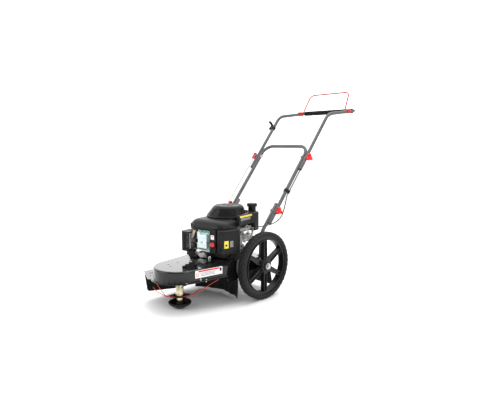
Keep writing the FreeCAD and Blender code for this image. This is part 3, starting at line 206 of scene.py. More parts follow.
MATERIALS = {
    "gloss_black": finish_material("gloss_black_paint", (0.005, 0.005, 0.0055), 0.14, mottle=0.25,
        grain=160.0, grain_depth=0.0002, grain_strength=0.05, coat=1.0, dust=0.02, specular=0.12,
        coat_ior=1.36),
    "satin_black": finish_material("satin_black_paint", (0.007, 0.007, 0.0075), 0.40, grain=700.0,
        dust=0.02, specular=0.2),
    "black_plastic": finish_material("moulded_black_plastic", (0.007, 0.007, 0.0075), 0.40, mottle=0.2,
        grain=1400.0, grain_depth=0.00012, grain_strength=0.4, dust=0.015, specular=0.22),
    "wheel_plastic": finish_material("wheel_plastic", (0.006, 0.006, 0.0065), 0.32, grain=1100.0,
        dust=0.015, specular=0.3),
    "tyre_rubber": finish_material("tyre_rubber", (0.011, 0.011, 0.0115), 0.62, mottle=0.25, grain=1500.0,
        grain_depth=0.00025, grain_strength=0.5, dust=0.02, specular=0.2),
    "flap_rubber": finish_material("flap_rubber", (0.006, 0.006, 0.0065), 0.55, grain=800.0,
        grain_depth=0.0002, grain_strength=0.4, dust=0.02, specular=0.25),
    "belt_rubber": finish_material("belt_rubber", (0.012, 0.012, 0.012), 0.8, grain=1200.0,
        grain_depth=0.0002),
    "grip_foam": finish_material("grip_foam", (0.006, 0.006, 0.0065), 0.92, mottle=0.3, grain=1300.0,
        grain_depth=0.0006, grain_strength=0.9, specular=0.12, sheen=0.06),
    "handle_grey": finish_material("handle_grey_paint", (0.105, 0.105, 0.108), 0.42, metallic=0.35,
        mottle=0.10, grain=1600.0, grain_depth=0.00008, grain_strength=0.35, specular=0.22),
    "red_rod": finish_material("red_enamel", (0.36, 0.008, 0.012), 0.34, mottle=0.12, grain=400.0,
        specular=0.25),
    "red_plastic": finish_material("red_plastic", (0.62, 0.020, 0.014), 0.42, mottle=0.12, grain=1200.0,
        grain_depth=0.0001, grain_strength=0.35, specular=0.25),
    "red_bulb": finish_material("primer_rubber", (0.46, 0.006, 0.016), 0.16, mottle=0.12, grain=300.0,
        coat=0.5),
    "red_line": finish_material("cutting_line", (0.62, 0.075, 0.022), 0.32, mottle=0.25, grain=600.0),
    "zinc": finish_material("zinc_plate", (0.55, 0.55, 0.53), 0.30, metallic=1.0, mottle=0.22, patch=60.0,
        grain=900.0),
    "yellow_zinc": finish_material("yellow_zinc_plate", (0.62, 0.56, 0.38), 0.30, metallic=1.0, mottle=0.28,
        patch=70.0, grain=700.0),
    "steel": finish_material("turned_steel", (0.46, 0.46, 0.47), 0.28, metallic=1.0, mottle=0.12,
        stretch=(1.0, 1.0, 12.0), grain=500.0),
    "cast_aluminium": finish_material("cast_aluminium", (0.74, 0.74, 0.73), 0.42, metallic=0.8, mottle=0.12,
        grain=420.0, grain_depth=0.0005, grain_strength=0.7),
    "valve_silver": finish_material("pressed_silver_cover", (0.56, 0.66, 0.68), 0.30, metallic=0.85,
        mottle=0.08, grain=500.0),
    "cast_iron": finish_material("cast_iron", (0.10, 0.10, 0.10), 0.6, metallic=0.7, mottle=0.25,
        grain=350.0, grain_depth=0.0006, grain_strength=0.8),
    "rope_grey": finish_material("starter_rope", (0.15, 0.15, 0.145), 0.85, mottle=0.25, patch=80.0,
        grain=900.0, grain_depth=0.0004, grain_strength=0.8, sheen=0.3),
    "cable_black": finish_material("cable_jacket", (0.008, 0.008, 0.0085), 0.36, grain=900.0),
    "label_white": finish_material("white_vinyl", (0.80, 0.80, 0.79), 0.35, mottle=0.05, grain=900.0,
        coat=0.3),
    "label_yellow": finish_material("yellow_vinyl", (0.80, 0.62, 0.03), 0.35, mottle=0.06, grain=900.0,
        coat=0.3),
}
PAINTS = {
    "label_grey": ("label_white", finish_material("grey_vinyl", (0.20, 0.19, 0.20), 0.4, mottle=0.3,
        patch=90.0)),
    "shroud_green": ("valve_silver", finish_material("green_passivated_sheet", (0.10, 0.30, 0.26), 0.35,
        metallic=0.6, mottle=0.3, patch=50.0)),
    "heat_beige": ("steel", finish_material("heat_tinted_sheet", (0.50, 0.42, 0.33), 0.45, metallic=0.3,
        mottle=0.2, patch=60.0)),
}


def dress(piece, slot_name):
    """Gives a new piece its material, looked up by the record's slot name."""
    slot_name, material = PAINTS.get(slot_name, (slot_name, MATERIALS.get(slot_name)))
    piece.data.materials.clear()
    piece.data.materials.append(material)
    return piece


def paint_cad_nodes():
    for row in frame["record"]["subparts"]:
        node = NODES[row["node"]]
        node.data.materials.clear()
        node.data.materials.append(MATERIALS[row["material_slot"]])
    # Painted shade: the crankcase gets a near-black colour in place of cast aluminium, standing in for the
    # shade that falls below the air filter.
    shade_dark_casting = finish_material("shade_darkened_casting", (0.035, 0.035, 0.034), 0.5, metallic=0.3, mottle=0.35,
                            patch=40.0, grain=420.0, grain_depth=0.0005, grain_strength=0.7)
    NODES["crankcase"].data.materials[0] = shade_dark_casting


paint_cad_nodes()


# ---------------------------------------------------------------- mesh building
MACHINE = Matrix.Translation((0, AXLE.y, 0)) @ Matrix.Scale(MM, 4)
ENGINE = Matrix.Translation((CRANK.x, CRANK.y, 0)) @ Matrix.Rotation(ENGINE_TURN, 4,
                                                                     "Z") @ Matrix.Scale(MM, 4)


def pointing(origin, direction, up=(0, 0, 1)):
    """Local axes at origin whose z runs along direction and whose y is as near to up as it can be."""
    z = Vector(direction).normalized()
    x = Vector(up).cross(z)
    if x.length < 1e-6:
        x = Vector((1, 0, 0))
    x.normalize()
    place = Matrix((x, z.cross(x), z)).transposed().to_4x4()
    place.translation = origin
    return place


def circle(radius, steps, height=0.0, turn=0.0):
    points = []
    for i in range(steps):
        a = turn + math.tau * i / steps
        points.append((radius * math.cos(a), radius * math.sin(a), height))
    return points


def rounded(width, height, radius, steps=4):
    """Outline of a rounded rectangle about the origin."""
    points = []
    for quarter, (sx, sy) in enumerate(((1, 1), (-1, 1), (-1, -1), (1, -1))):
        cx = sx * (width / 2 - radius)
        cy = sy * (height / 2 - radius)
        for i in range(steps + 1):
            a = math.pi / 2 * (quarter + i / steps)
            points.append((cx + radius * math.cos(a), cy + radius * math.sin(a)))
    return points


class Shape:
    """One piece's mesh, gathered in millimetres in the machine's or the engine's axes."""

    def __init__(self, axes=MACHINE):
        self.mesh = bmesh.new()
        self.axes = axes

    def add(self, points, faces, place=None):
        place = place or Matrix()
        verts = [self.mesh.verts.new(place @ Vector(p)) for p in points]
        for face in faces:
            self.mesh.faces.new([verts[i] for i in face])

    def skin(self, rings, place=None, closed=False):
        """Surface over rings of equal length; its ends are capped unless it closes on itself."""
        n = len(rings[0])
        points = [p for ring in rings for p in ring]
        faces = []
        for i in range(len(rings) if closed else len(rings) - 1):
            j = (i + 1) % len(rings)
            for k in range(n):
                m = (k + 1) % n
                faces.append((i * n + k, i * n + m, j * n + m, j * n + k))
        if not closed:
            faces.append(tuple(range(n))[::-1])
            faces.append(tuple((len(rings) - 1) * n + k for k in range(n)))
        self.add(points, faces, place)

    def lathe(self, profile, place=None, steps=48):
        """Closed (radius, height) profile turned about the local z axis."""
        rings = []
        for i in range(steps):
            a = math.tau * i / steps
            rings.append([(r * math.cos(a), r * math.sin(a), h) for r, h in profile])
        self.skin(rings, place, closed=True)

    def prism(self, outline, z0, z1, place=None):
        self.skin([[(x, y, z0) for x, y in outline], [(x, y, z1) for x, y in outline]], place)

    def slab(self, low, high, place=None):
        outline = [(low[0], low[1]), (high[0], low[1]), (high[0], high[1]), (low[0], high[1])]
        self.prism(outline, low[2], high[2], place)

    def tube(self, points, radius, sides=10, closed=False):
        """Round tube along points, turned as little as it can be from one to the next."""
        pts = [Vector(p) for p in points]
        n = len(pts)
        rings = []
        up = None
        for i in range(n):
            before = pts[i - 1] if i or closed else pts[i]
            after = pts[(i + 1) % n] if i < n - 1 or closed else pts[i]
            along = (after - before).normalized()
            if up is None:
                up = along.orthogonal().normalized()
            up = (up - along * up.dot(along)).normalized()
            side = along.cross(up)
            r = radius(i / (n - 1)) if callable(radius) else radius
            ring = []
            for k in range(sides):
                a = math.tau * k / sides
                ring.append(pts[i] + (up * math.cos(a) + side * math.sin(a)) * r)
            rings.append(ring)
        self.skin(rings, closed=closed)

    def screw(self, place, radius, height, washer=0.0):
        """Hex-flange screw head with a dished top, standing on the local xy plane."""
        flange = washer or radius * 1.35
        self.lathe([(0, 0), (flange, 0), (flange, 0.8), (radius, 1.4), (0, 1.4)], place, 24)
        head = [circle(radius * 0.94, 6, 1.2), circle(radius * 0.94, 6, height - 0.8),
                circle(radius * 0.8, 6, height), circle(radius * 0.55, 6, height - 0.4)]
        self.skin(head, place)

    def piece(self, name, slot_name, body, bevel=0.0, crease=34.0):
        """Turns the gathered mesh into an object that rides on a body."""
        bm = self.mesh
        bm.transform(self.axes)
        bmesh.ops.remove_doubles(bm, verts=bm.verts, dist=2e-6)
        bmesh.ops.dissolve_degenerate(bm, edges=bm.edges, dist=2e-6)
        bmesh.ops.recalc_face_normals(bm, faces=bm.faces)
        limit = math.radians(crease)
        for face in bm.faces:
            face.smooth = True
        for edge in bm.edges:
            edge.smooth = not (len(edge.link_faces) == 2 and edge.calc_face_angle(0.0) > limit)
        mesh = bpy.data.meshes.new(name)
        bm.to_mesh(mesh)
        bm.free()
        obj = bpy.data.objects.new(name, mesh)
        bpy.context.scene.collection.objects.link(obj)
        if bevel:
            soften(obj, bevel, crease)
        dress(obj, slot_name)
        if body:
            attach(obj, body)
        return obj


def soften(obj, width, crease=34.0, segments=2):
    """Rounds an object's sharp edges without touching its mesh."""
    bevel = obj.modifiers.new("edge_rounding", "BEVEL")
    bevel.width = width * MM
    bevel.segments = segments
    bevel.limit_method = "ANGLE"
    bevel.angle_limit = math.radians(crease)
    bevel.harden_normals = True
    bevel.use_clamp_overlap = True


def round_path(points, radii, steps=8):
    """Points along straight runs by way of each corner's arc centre.

    slerp gives unit-length vectors, so a corner's points lie 1 mm round its centre, not on the arc.
    """
    pts = [Vector(p) for p in points]
    path = [pts[0]]
    for i, radius in enumerate(radii, start=1):
        before = (pts[i - 1] - pts[i]).normalized()
        after = (pts[i + 1] - pts[i]).normalized()
        half = before.angle(after) / 2
        centre = pts[i] + (before + after).normalized() * (radius / math.sin(half))
        start = pts[i] + before * (radius / math.tan(half)) - centre
        end = pts[i] + after * (radius / math.tan(half)) - centre
        for k in range(steps + 1):
            path.append(centre + start.slerp(end, k / steps))
    path.append(pts[-1])
    return path


def spline_points(route, resolution=10):
    """Points in millimetres along the smooth NURBS line of a route given in metres."""
    data = bpy.data.curves.new("route", "CURVE")
    data.dimensions = "3D"
    spline = data.splines.new("NURBS")
    spline.points.add(len(route) - 1)
    for point, place in zip(spline.points, route):
        point.co = (*place, 1.0)
    spline.order_u = 3
    spline.use_endpoint_u = True
    spline.resolution_u = resolution
    holder = bpy.data.objects.new("route", data)
    mesh = bpy.data.meshes.new_from_object(holder)
    points = [v.co / MM for v in mesh.vertices]
    bpy.data.objects.remove(holder)
    bpy.data.curves.remove(data)
    bpy.data.meshes.remove(mesh)
    return points


# ---------------------------------------------------------------- wheels
def tyre(side):
    """Lugged tyre: shoulder blocks on both sides and a sliced rib between two grooves."""
    half = [(20.0, 156.3, 0), (21.6, 159.0, 0), (22.0, 162.0, 0), (21.4, 164.5, 0), (21.9, 167.0, 0),
            (21.6, 169.5, 1), (20.2, 173.6, 2), (17.4, 176.4, 2), (13.6, 177.7, 2), (9.2, 178.0, 2),
            (8.2, 174.6, 0), (5.2, 174.6, 0), (4.2, 178.0, 3)]
    steps = 320
    rings = []
    for i in range(steps):
        a = math.tau * i / steps
        ring = []
        for sign, points, shift in ((-1, half, 0), (1, half[::-1], 4)):
            beat = (i + shift) % 8
            for x, r, kind in points:
                drop = 0.0
                if kind in (1, 2) and beat < 2:
                    drop = 1.2 * kind
                if kind == 3 and beat == 5:
                    drop = 1.6
                ring.append(((r - drop) * math.cos(a), (r - drop) * math.sin(a), sign * x))
        rings.append(ring)
    shape = Shape()
    shape.skin(rings, pointing((side * 208.0, 0, 178.0), (1, 0, 0)), closed=True)
    name = "left" if side > 0 else "right"
    piece = shape.piece(name + "_tyre_tread", "tyre_rubber", name + "_wheel", crease=40)
    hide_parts(name + "_tyre")


def hub_trim(side):
    """Raised ring and six short ribs moulded on the hub's outer face."""
    shape = Shape()
    place = pointing((side * 208.0, 0, 178.0), (side, 0, 0))
    shape.lathe([(25.6, 19.5), (34.6, 19.5), (34.6, 20.6), (33.4, 21.6), (27.0, 21.6), (25.6, 20.6)], place)
    for i in range(12):
        spin = place @ Matrix.Rotation(math.tau * (i + 0.5) / 12, 4, "Z")
        shape.slab((20.5, -1.1, 19.6), (26.2, 1.1, 24.6), spin)
    name = "left" if side > 0 else "right"
    shape.piece(name + "_hub_trim", "wheel_plastic", name + "_wheel", bevel=0.4)


# ---------------------------------------------------------------- rubber flaps
def wavy_wall(name, node, columns, rows, place_of, thickness):
    """Moulded rubber wall from a function of (across, down) that gives a point and its normal."""
    shape = Shape()
    rings = []
    for i in range(columns + 1):
        front = []
        back = []
        for j in range(rows + 1):
            point, normal = place_of(i / columns, j / rows)
            front.append(point + normal * (thickness / 2))
            back.append(point - normal * (thickness / 2))
        rings.append(front + back[::-1])
    shape.skin(rings)
    piece = shape.piece(name, "flap_rubber", "root", bevel=0.7, crease=50)
    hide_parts(node)


def debris_flap_place(across, down):
    a = math.radians(62.6 + 63.8 * across)
    wave = 3.4 * down * down * math.sin(across * 17.0) + 1.2 * down * math.sin(across * 41.0 + 1.0)
    corner = 16.0 * max(0.0, 1.0 - across / 0.10) ** 2 - 5.0 * max(0.0, (across - 0.86) / 0.14) ** 2
    radius = 302.0 + wave - 5.0 * down ** 3 * max(0.0, 1.0 - across * 9.0)
    foot = 11.5 + 4.0 * math.sin(across * math.pi) ** 2 - corner * 0.06
    z = 148.6 - down * (148.6 - foot)
    radial = Vector((math.cos(a), math.sin(a), 0.0))
    return Vector((0, -394.0, z)) + radial * radius, radial


def rear_flap_place(across, down):
    lean = math.radians(12)
    x = 147.0 - 294.0 * across
    wave = 2.2 * down * down * math.sin(across * 22.0 + 0.6)
    foot = 105.0 - 2.0 * math.sin(across * math.pi * 3) ** 2
    z = 132.0 - down * foot * math.cos(lean)
    y = 114.0 + down * foot * math.sin(lean) + wave
    return Vector((x, y, z)), Vector((0, math.cos(lean), math.sin(lean)))


# ---------------------------------------------------------------- deck details
COVER_FROM = (125.9, -410.8)       # start of the belt cover's flat left side, and its direction
COVER_ALONG = (0.1613, 0.9869)


def side_place(s, z, proud=0.0):
    """Axes on the cover's left side: x forward to back, y up, z outward."""
    origin = Vector((COVER_FROM[0] + COVER_ALONG[0] * s, COVER_FROM[1] + COVER_ALONG[1] * s, z))
    normal = Vector((COVER_ALONG[1], -COVER_ALONG[0], 0.0))
    return pointing(origin + normal * proud, normal)


def sticker(name, slot_name, place, width, height, corner, thick=0.35, axes=MACHINE, body="root", base=0.0):
    shape = Shape(axes)
    shape.prism(rounded(width, height, corner), base, base + thick, place)
    return shape.piece(name, slot_name, body)


def cover_labels():
    """White side label with a red band and plain marks, and small stickers elsewhere."""
    middle_s = 91.5
    sticker("side_label", "label_white", side_place(middle_s, 193.0), 153, 37, 2.5, 0.4)
    sticker("side_label_band", "red_plastic", side_place(middle_s, 205.5), 118, 7.5, 1.0, 0.6)
    sticker("side_label_square", "satin_black", side_place(middle_s + 66, 198.0), 11, 16, 1.5, 0.6)
    shape = Shape()
    place = side_place(middle_s - 64, 190.0)
    shape.lathe([(5.6, 0.3), (8.2, 0.3), (8.2, 0.62), (5.6, 0.62)], place, 28)
    shape.piece("side_label_ring", "red_plastic", "root")
    shape = Shape()
    for row, width in ((196.0, 86), (189.5, 78), (183.0, 84)):
        shape.prism(rounded(width, 2.6, 1.2), 0.3, 0.58, side_place(middle_s - 6, row))
    shape.piece("side_label_bars", "rope_grey", "root")


def cover_fittings():
    """Plastic lugs and bright screws where the engine's front shield meets the cover."""
    lugs = Shape()
    for x, y, r, h in ((56, -386, 10.5, 15), (51, -403, 8.0, 9), (53, -361, 11.5, 20), (40, -345, 12.5, 24)):
        place = Matrix.Translation((x, y, 216.0))
        lugs.skin([circle(r * 1.12, 12, -0.4), circle(r * 1.12, 12, 3), circle(r, 12, 5),
                   circle(r * 0.92, 12, h),
                   circle(r * 0.7, 12, h + 1.5)], place)
    lugs.slab((36, -392, 215.6), (62, -338, 221))
    lugs.piece("cover_lugs", "black_plastic", "root", bevel=1.2)
    screws = Shape()
    screws.screw(Matrix.Translation((56, -386, 232.4)), 4.4, 4.0)
    screws.screw(Matrix.Translation((53, -361, 237.4)), 4.4, 4.0)
    screws.screw(Matrix.Translation((51, -403, 226.4)), 3.2, 3.0)
    screws.screw(side_place(44, 163.0, 0.6), 3.4, 3.2)
    screws.screw(side_place(44, 168.5, 0.2), 2.6, 2.6)
    screws.piece("cover_screws", "zinc", "root", bevel=0.25)


def weld_bead(shape, points, radius):
    """Rippled bead of weld."""
    pts = [Vector(p) for p in points]
    path = []
    for a, b in zip(pts, pts[1:]):
        count = max(2, int((b - a).length / 1.6))
        for i in range(count):
            path.append(a.lerp(b, i / count))
    path.append(pts[-1])
    last = len(path) - 1
    shape.tube(path, lambda t: radius * (1.0 + 0.14 * math.sin(t * last * 2.1)), 8)


def welds():
    shape = Shape()
    for side in (1, -1):
        ring = [(side * 149.0 + 11.2 * math.cos(math.tau * i / 24),
                 35.7 + 11.2 * math.sin(math.tau * i / 24), 217.4)
                for i in range(25)]
        weld_bead(shape, ring, 1.7)
    weld_bead(shape, [(163.4, -205, 160.5), (163.6, -150, 160.5)], 1.8)
    weld_bead(shape, [(163.0, -196, 212.0), (163.0, -136, 212.0)], 1.8)
    weld_bead(shape, [(-166.8, -200, 158.4), (-150, -330, 158.4)], 1.5)
    shape.piece("weld_beads", "gloss_black", "root")


# ---------------------------------------------------------------- engine
RECOIL_RIM = 430.0
RECOIL_PANELS = (-43.0, 29.0, 101.0, 173.0, 245.0)      # middle of each louvred panel, in the machine's axes


def recoil_radius(z):
    """Tapered side of the starter cover."""
    return 110.0 - max(0.0, z - RECOIL_RIM) * 30.0 / 49.0


def recoil_centre(z):
    """How far the cover's round section at this height is off the crank's axis, in x and in y."""
    return -6.4 * min(1.0, max(0.0, (479.0 - z) / 49.0))


def in_panel(degrees):
    for centre in RECOIL_PANELS:
        off = (degrees - centre + 180.0) % 360.0 - 180.0
        if abs(off) < 27.5:
            return True
    return False


def recoil_shell():
    """Starter cover: solid top and foot, five recessed panels of louvres between pillars."""
    steps = 180
    slats = []
    for k in range(6):
        z = 437.4 + k * 5.4
        slats += [(z, 4.6), (z + 0.6, 0.9), (z + 3.0, 0.9), (z + 3.6, 4.6)]
    rings = []
    for i in range(steps):
        degrees = 360.0 * i / steps
        a = math.radians(degrees)
        ring = [(107.4, 412.0), (110.0, 412.4), (109.6, 416.0), (108.4, 418.0), (108.4, 428.0),
                (109.6, 430.0), (recoil_radius(435.4), 435.4)]
        recessed = in_panel(degrees)
        for z, depth in slats:
            ring.append((recoil_radius(z) - (depth if recessed else 0.0), z))
        ring += [(recoil_radius(471.0), 471.0), (recoil_radius(474.6), 474.6), (80.4, 477.6), (78.0, 481.2),
                 (74.6, 483.6), (69.5, 484.8), (66.0, 485.0), (64.6, 483.8), (62.6, 483.8), (61.4, 485.0),
                 (30.0, 485.0), (29.0, 484.2), (26.0, 484.2), (25.0, 485.0), (0.0, 485.0), (0.0, 482.0),
                 (70.0, 481.0), (104.0, 430.0), (105.0, 412.0)]
        rings.append([(r * math.cos(a) + recoil_centre(z), r * math.sin(a) + recoil_centre(z), z) for r,
                      z in ring])
    shape = Shape()
    shape.skin(rings, Matrix.Translation((0, -60.0, 0)), closed=True)
    piece = shape.piece("recoil_shell", "black_plastic", "root", crease=40)
    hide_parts("recoil_cover")
    pillars = Shape()
    for centre in RECOIL_PANELS:
        for off in (-28.6, 28.6):
            a = math.radians(centre + off)
            ends = []
            for z in (434.0, 473.0):
                r = recoil_radius(z)
                off_axis = recoil_centre(z)
                turned = Matrix.Translation((off_axis, off_axis, 0)) @ Matrix.Rotation(a, 4, "Z")
                corners = [(r - 3, -2.2, z), (r + 0.9, -2.2, z), (r + 0.9, 2.2, z), (r - 3, 2.2, z)]
                ends.append([turned @ Vector(corner) for corner in corners])
            pillars.skin(ends, Matrix.Translation((0, -60.0, 0)))
    pillars.piece("recoil_pillars", "black_plastic", "root", bevel=0.8)
    trim = Shape()
    trim.lathe([(4.2, 484.6), (8.0, 484.6), (8.0, 486.6), (6.6, 488.2), (4.6, 488.2), (3.6, 487.0)],
               Matrix.Translation((-38.0, -30.0, 0)), 32)
    trim.piece("rope_eyelet", "steel", "root")
    screws = Shape()
    for degrees in (65, 137, 209, 281, 353):
        a = math.radians(degrees)
        off_axis = recoil_centre(432.0)
        place = Matrix.Translation((off_axis + 103.0 * math.cos(a), -60 + off_axis + 103.0 * math.sin(a),
                                    431.6))
        screws.screw(place, 4.0, 3.6)
    screws.piece("recoil_screws", "zinc", "root", bevel=0.25)


BLOWER_LINE = [(-132, -196), (124, -196), (103, 20), (66, 104), (-76, 104), (-132, 30)]
BLOWER_ROUNDS = [62, 55, 60, 56, 60, 62]


def closed_round(points, radii, z, steps=8):
    """Closed outline at one height, through its corners' arc centres."""
    n = len(points)
    path = []
    for i in range(n):
        a = Vector((*points[i - 1], z))
        b = Vector((*points[i], z))
        c = Vector((*points[(i + 1) % n], z))
        path += round_path([a, b, c], [radii[i]], steps)[1:-1]
    return path


def blower_details():
    """Foot lip, screw bosses, screws and the small fins of the moulded housing."""
    lip = Shape(ENGINE)
    outline = [p for p in closed_round(BLOWER_LINE, BLOWER_ROUNDS, 377.0) if not (p.x > 52 and p.y < -84)]
    start = max(range(len(outline)), key=lambda i: (outline[i] - outline[i - 1]).length)
    lip.tube(outline[start:] + outline[:start], 1.5, 8)
    lip.piece("blower_lip", "black_plastic", "root")
    fins = Shape(ENGINE)
    for i in range(5):
        a = math.radians(206 + 8 * i)
        centre = Vector((-70, -134, 0))
        out = Vector((math.cos(a), math.sin(a), 0))
        place = pointing(centre + out * 61.0 + Vector((0, 0, 389)), out)
        fins.prism(rounded(2.6, 20, 1.2, 3), -4, 1.6, place)
    fins.piece("blower_fins", "black_plastic", "root", bevel=0.4)
    bosses = Shape(ENGINE)
    screws = Shape(ENGINE)
    for x, y, z, out in ((112, -60, 392, (1, 0.1, 0)), (-132, -40, 392, (-1, 0, 0)),
                         (-20, 104, 392, (0, 1, 0))):
        place = pointing((x, y, z), out)
        bosses.lathe([(0, -6), (9.5, -6), (8.2, 1.4), (7.4, 2.2), (0, 2.2)], place, 28)
        screws.screw(pointing(Vector((x, y, z)) + Vector(out).normalized() * 2.0, out), 4.2, 4.0)
    bosses.piece("blower_bosses", "black_plastic", "root")
    screws.piece("blower_screws", "zinc", "root", bevel=0.25)


def head_details():
    """Screws, gasket and cooling shroud round the valve cover, heat shield strip and castings below."""
    screws = Shape(ENGINE)
    for x, z in ((-19.5, 285), (35.5, 285), (-19.5, 362), (35.5, 362)):
        screws.screw(pointing((x, -209, z), (0, -1, 0)), 3.6, 4.4)
    screws.screw(pointing((8, -236, 323.5), (0, -1, 0)), 5.0, 4.6)
    screws.piece("valve_cover_screws", "zinc", "root", bevel=0.3)
    rim = Shape(ENGINE)
    rim.prism(rounded(66, 89, 5), -0.6, 1.4, pointing((8, -206.6, 323.5), (0, -1, 0)))
    rim.piece("valve_gasket", "shroud_green", "root", bevel=0.3)
    shroud = Shape(ENGINE)
    shroud.prism([(40.5, -214), (43.2, -214), (43.2, -186), (40.5, -186)], 268, 376)
    shroud.prism([(-30, -214), (43, -214), (43, -206.2), (-30, -206.2)], 367.5, 371.5)
    shroud.slab((-26, -213, 371), (-8, -206, 377))
    shroud.slab((12, -213, 371), (34, -206, 375))
    shroud.piece("head_shroud", "shroud_green", "root", bevel=0.6)
    strip = Shape(ENGINE)
    strip.skin([[(-66, -214, 372), (-49, -214, 372), (-49, -210, 372), (-66, -210, 372)],
                [(-74, -214, 352), (-58, -214, 352), (-58, -210, 352), (-74, -210, 352)],
                [(-82, -213, 331), (-70, -213, 331), (-70, -210, 331), (-82, -210, 331)]])
    strip.piece("heat_strip", "heat_beige", "root", bevel=0.8)
    fins = Shape(ENGINE)
    for i in range(7):
        y = -158 - 6.2 * i
        fins.slab((-46, y - 1.2, 268), (40, y + 1.2, 374))
    fins.piece("head_fins", "cast_aluminium", "root", bevel=0.4)
    lug = Shape(ENGINE)
    lug.prism([(-104, 243), (-92, 247), (-72, 240), (-52, 246), (-34, 240), (-27, 230), (-30, 220),
               (-52, 223),
               (-66, 218), (-80, 226), (-98, 232)], 0, 9, pointing((0, -150, 0), (0, -1, 0)))
    lug.slab((-62, -160, 219), (-50, -150, 228))
    lug.lathe([(3.2, 0), (9, 0), (9, 12), (3.2, 12)], pointing((-92, -150, 239), (0, -1, 0)), 28)
    lug.lathe([(3.2, 0), (8, 0), (8, 12), (3.2, 12)], pointing((-38, -150, 231), (0, -1, 0)), 28)
    lug.piece("sump_lug", "cast_aluminium", "root", bevel=1.0)
    bolts = Shape(ENGINE)
    bolts.screw(pointing((-92, -162, 239), (0, -1, 0)), 5.0, 5.0)
    bolts.screw(pointing((-38, -162, 231), (0, -1, 0)), 5.0, 5.0)
    bolts.screw(pointing((-10, -152, 222), (0, -1, 0.2)), 6.0, 6.0, washer=9.0)
    bolts.piece("sump_bolts", "zinc", "root", bevel=0.4)


FILTER_FRONT = (120.0, -207.0)
FILTER_BACK = (160.0, -118.0)


def filter_place(s, z, proud=0.0):
    """Axes on the filter cover's slanted face: x forward to back, y up, z outward."""
    run = Vector((FILTER_BACK[0] - FILTER_FRONT[0], FILTER_BACK[1] - FILTER_FRONT[1], 0)).normalized()
    normal = Vector((run.y, -run.x, 0))
    origin = Vector((*FILTER_FRONT, z)) + run * s + normal * proud
    return pointing(origin, normal)


def filter_details():
    """Parting line, face panel, latch and labels of the air filter's cover."""
    sticker("filter_label", "label_yellow", filter_place(20.5, 315.5), 26, 37, 2.0, 0.5, ENGINE)
    sticker("filter_label_mark", "satin_black", filter_place(20.5, 312.0), 12, 10, 4.9, 0.7, ENGINE)
    sticker("filter_panel", "label_grey", filter_place(51.0, 316.5), 19, 31, 1.5, 0.45, ENGINE)
    frame = Shape(ENGINE)
    for z in (276, 374):
        frame.prism(rounded(82, 1.6, 0.8, 2), -0.8, 0.9, filter_place(48.8, z))
    for s in (8.5, 89.0):
        frame.prism(rounded(1.6, 99.5, 0.8, 2), -0.8, 0.9, filter_place(s, 325))
    frame.piece("filter_face_frame", "black_plastic", "root")
    latch = Shape(ENGINE)
    latch.prism(rounded(17, 12, 4), -2, 4, pointing((100, -205.8, 374), (0, -1, 0)))
    latch.lathe([(0, 0), (6.5, 0), (6.5, 5), (5.2, 6.4), (0, 6.4)],
                pointing((100, -206.4, 290), (0, -1, 0)), 24)
    for i in range(3):
        z = 300 + 16 * i
        latch.prism(rounded(30, 2.2, 1.0, 2), -0.8, 1.0, pointing((100, -206.2, z), (0, -1, 0)))
    latch.piece("filter_latch", "black_plastic", "root", bevel=0.5)
    sticker("panel_label", "label_white", pointing((58.5, -211, 348), (0, -1, 0)), 21, 22, 1.5, 0.4, ENGINE)
    sticker("panel_label_dot", "red_plastic", pointing((58.5, -211, 353.5), (0, -1, 0)), 9, 5, 2.0, 0.6,
            ENGINE)
    ring = Shape(ENGINE)
    ring.lathe([(14.6, 0), (17.6, 0), (17.2, 2.6), (15.2, 3.4), (14.6, 2.8)],
               pointing((61.5, -211, 311), (0, -1, 0)))
    ring.piece("primer_collar", "black_plastic", "root")


def tank_details():
    """Weld seam and labels of the fuel tank, and the ring under its cap."""
    outline = closed_round([(130, -78), (130, 118), (-6, 124)], [8, 26, 14], 420.0, 6)
    seam = Shape(ENGINE)
    seam.tube([Vector((108, -78.6, 421))] + [Vector((p.x, p.y, 421)) for p in outline[:21]], 1.3, 8)
    seam.piece("tank_seam", "black_plastic", "root")
    side = pointing((130, -19, 438.2), (1, 0, 0))
    sticker("tank_label_stripe", "label_yellow", side, 108, 9.5, 1.2, 0.5, ENGINE)
    sticker("tank_label_panel", "label_grey", pointing((130, -22, 424.0), (1, 0, 0)), 85, 14, 1.2, 0.4,
            ENGINE)
    collar = Shape(ENGINE)
    collar.lathe([(17.2, 446.5), (27.0, 446.5), (25.0, 449.0), (21.5, 450.2), (17.2, 450.2)],
                 Matrix.Translation((92, 92, 0)))
    collar.piece("filler_collar", "black_plastic", "root")


def helix(start, end, radius, turns, per_turn=14):
    """Points of a coil spring between two points, with straight legs."""
    a = Vector(start)
    b = Vector(end)
    place = pointing(a, b - a)
    length = (b - a).length
    points = [a]
    count = turns * per_turn
    for i in range(count + 1):
        t = i / count
        angle = math.tau * turns * t
        points.append(place @ Vector((radius * math.cos(angle), radius * math.sin(angle),
                                      length * (0.12 + 0.76 * t))))
    points.append(b)
    return points


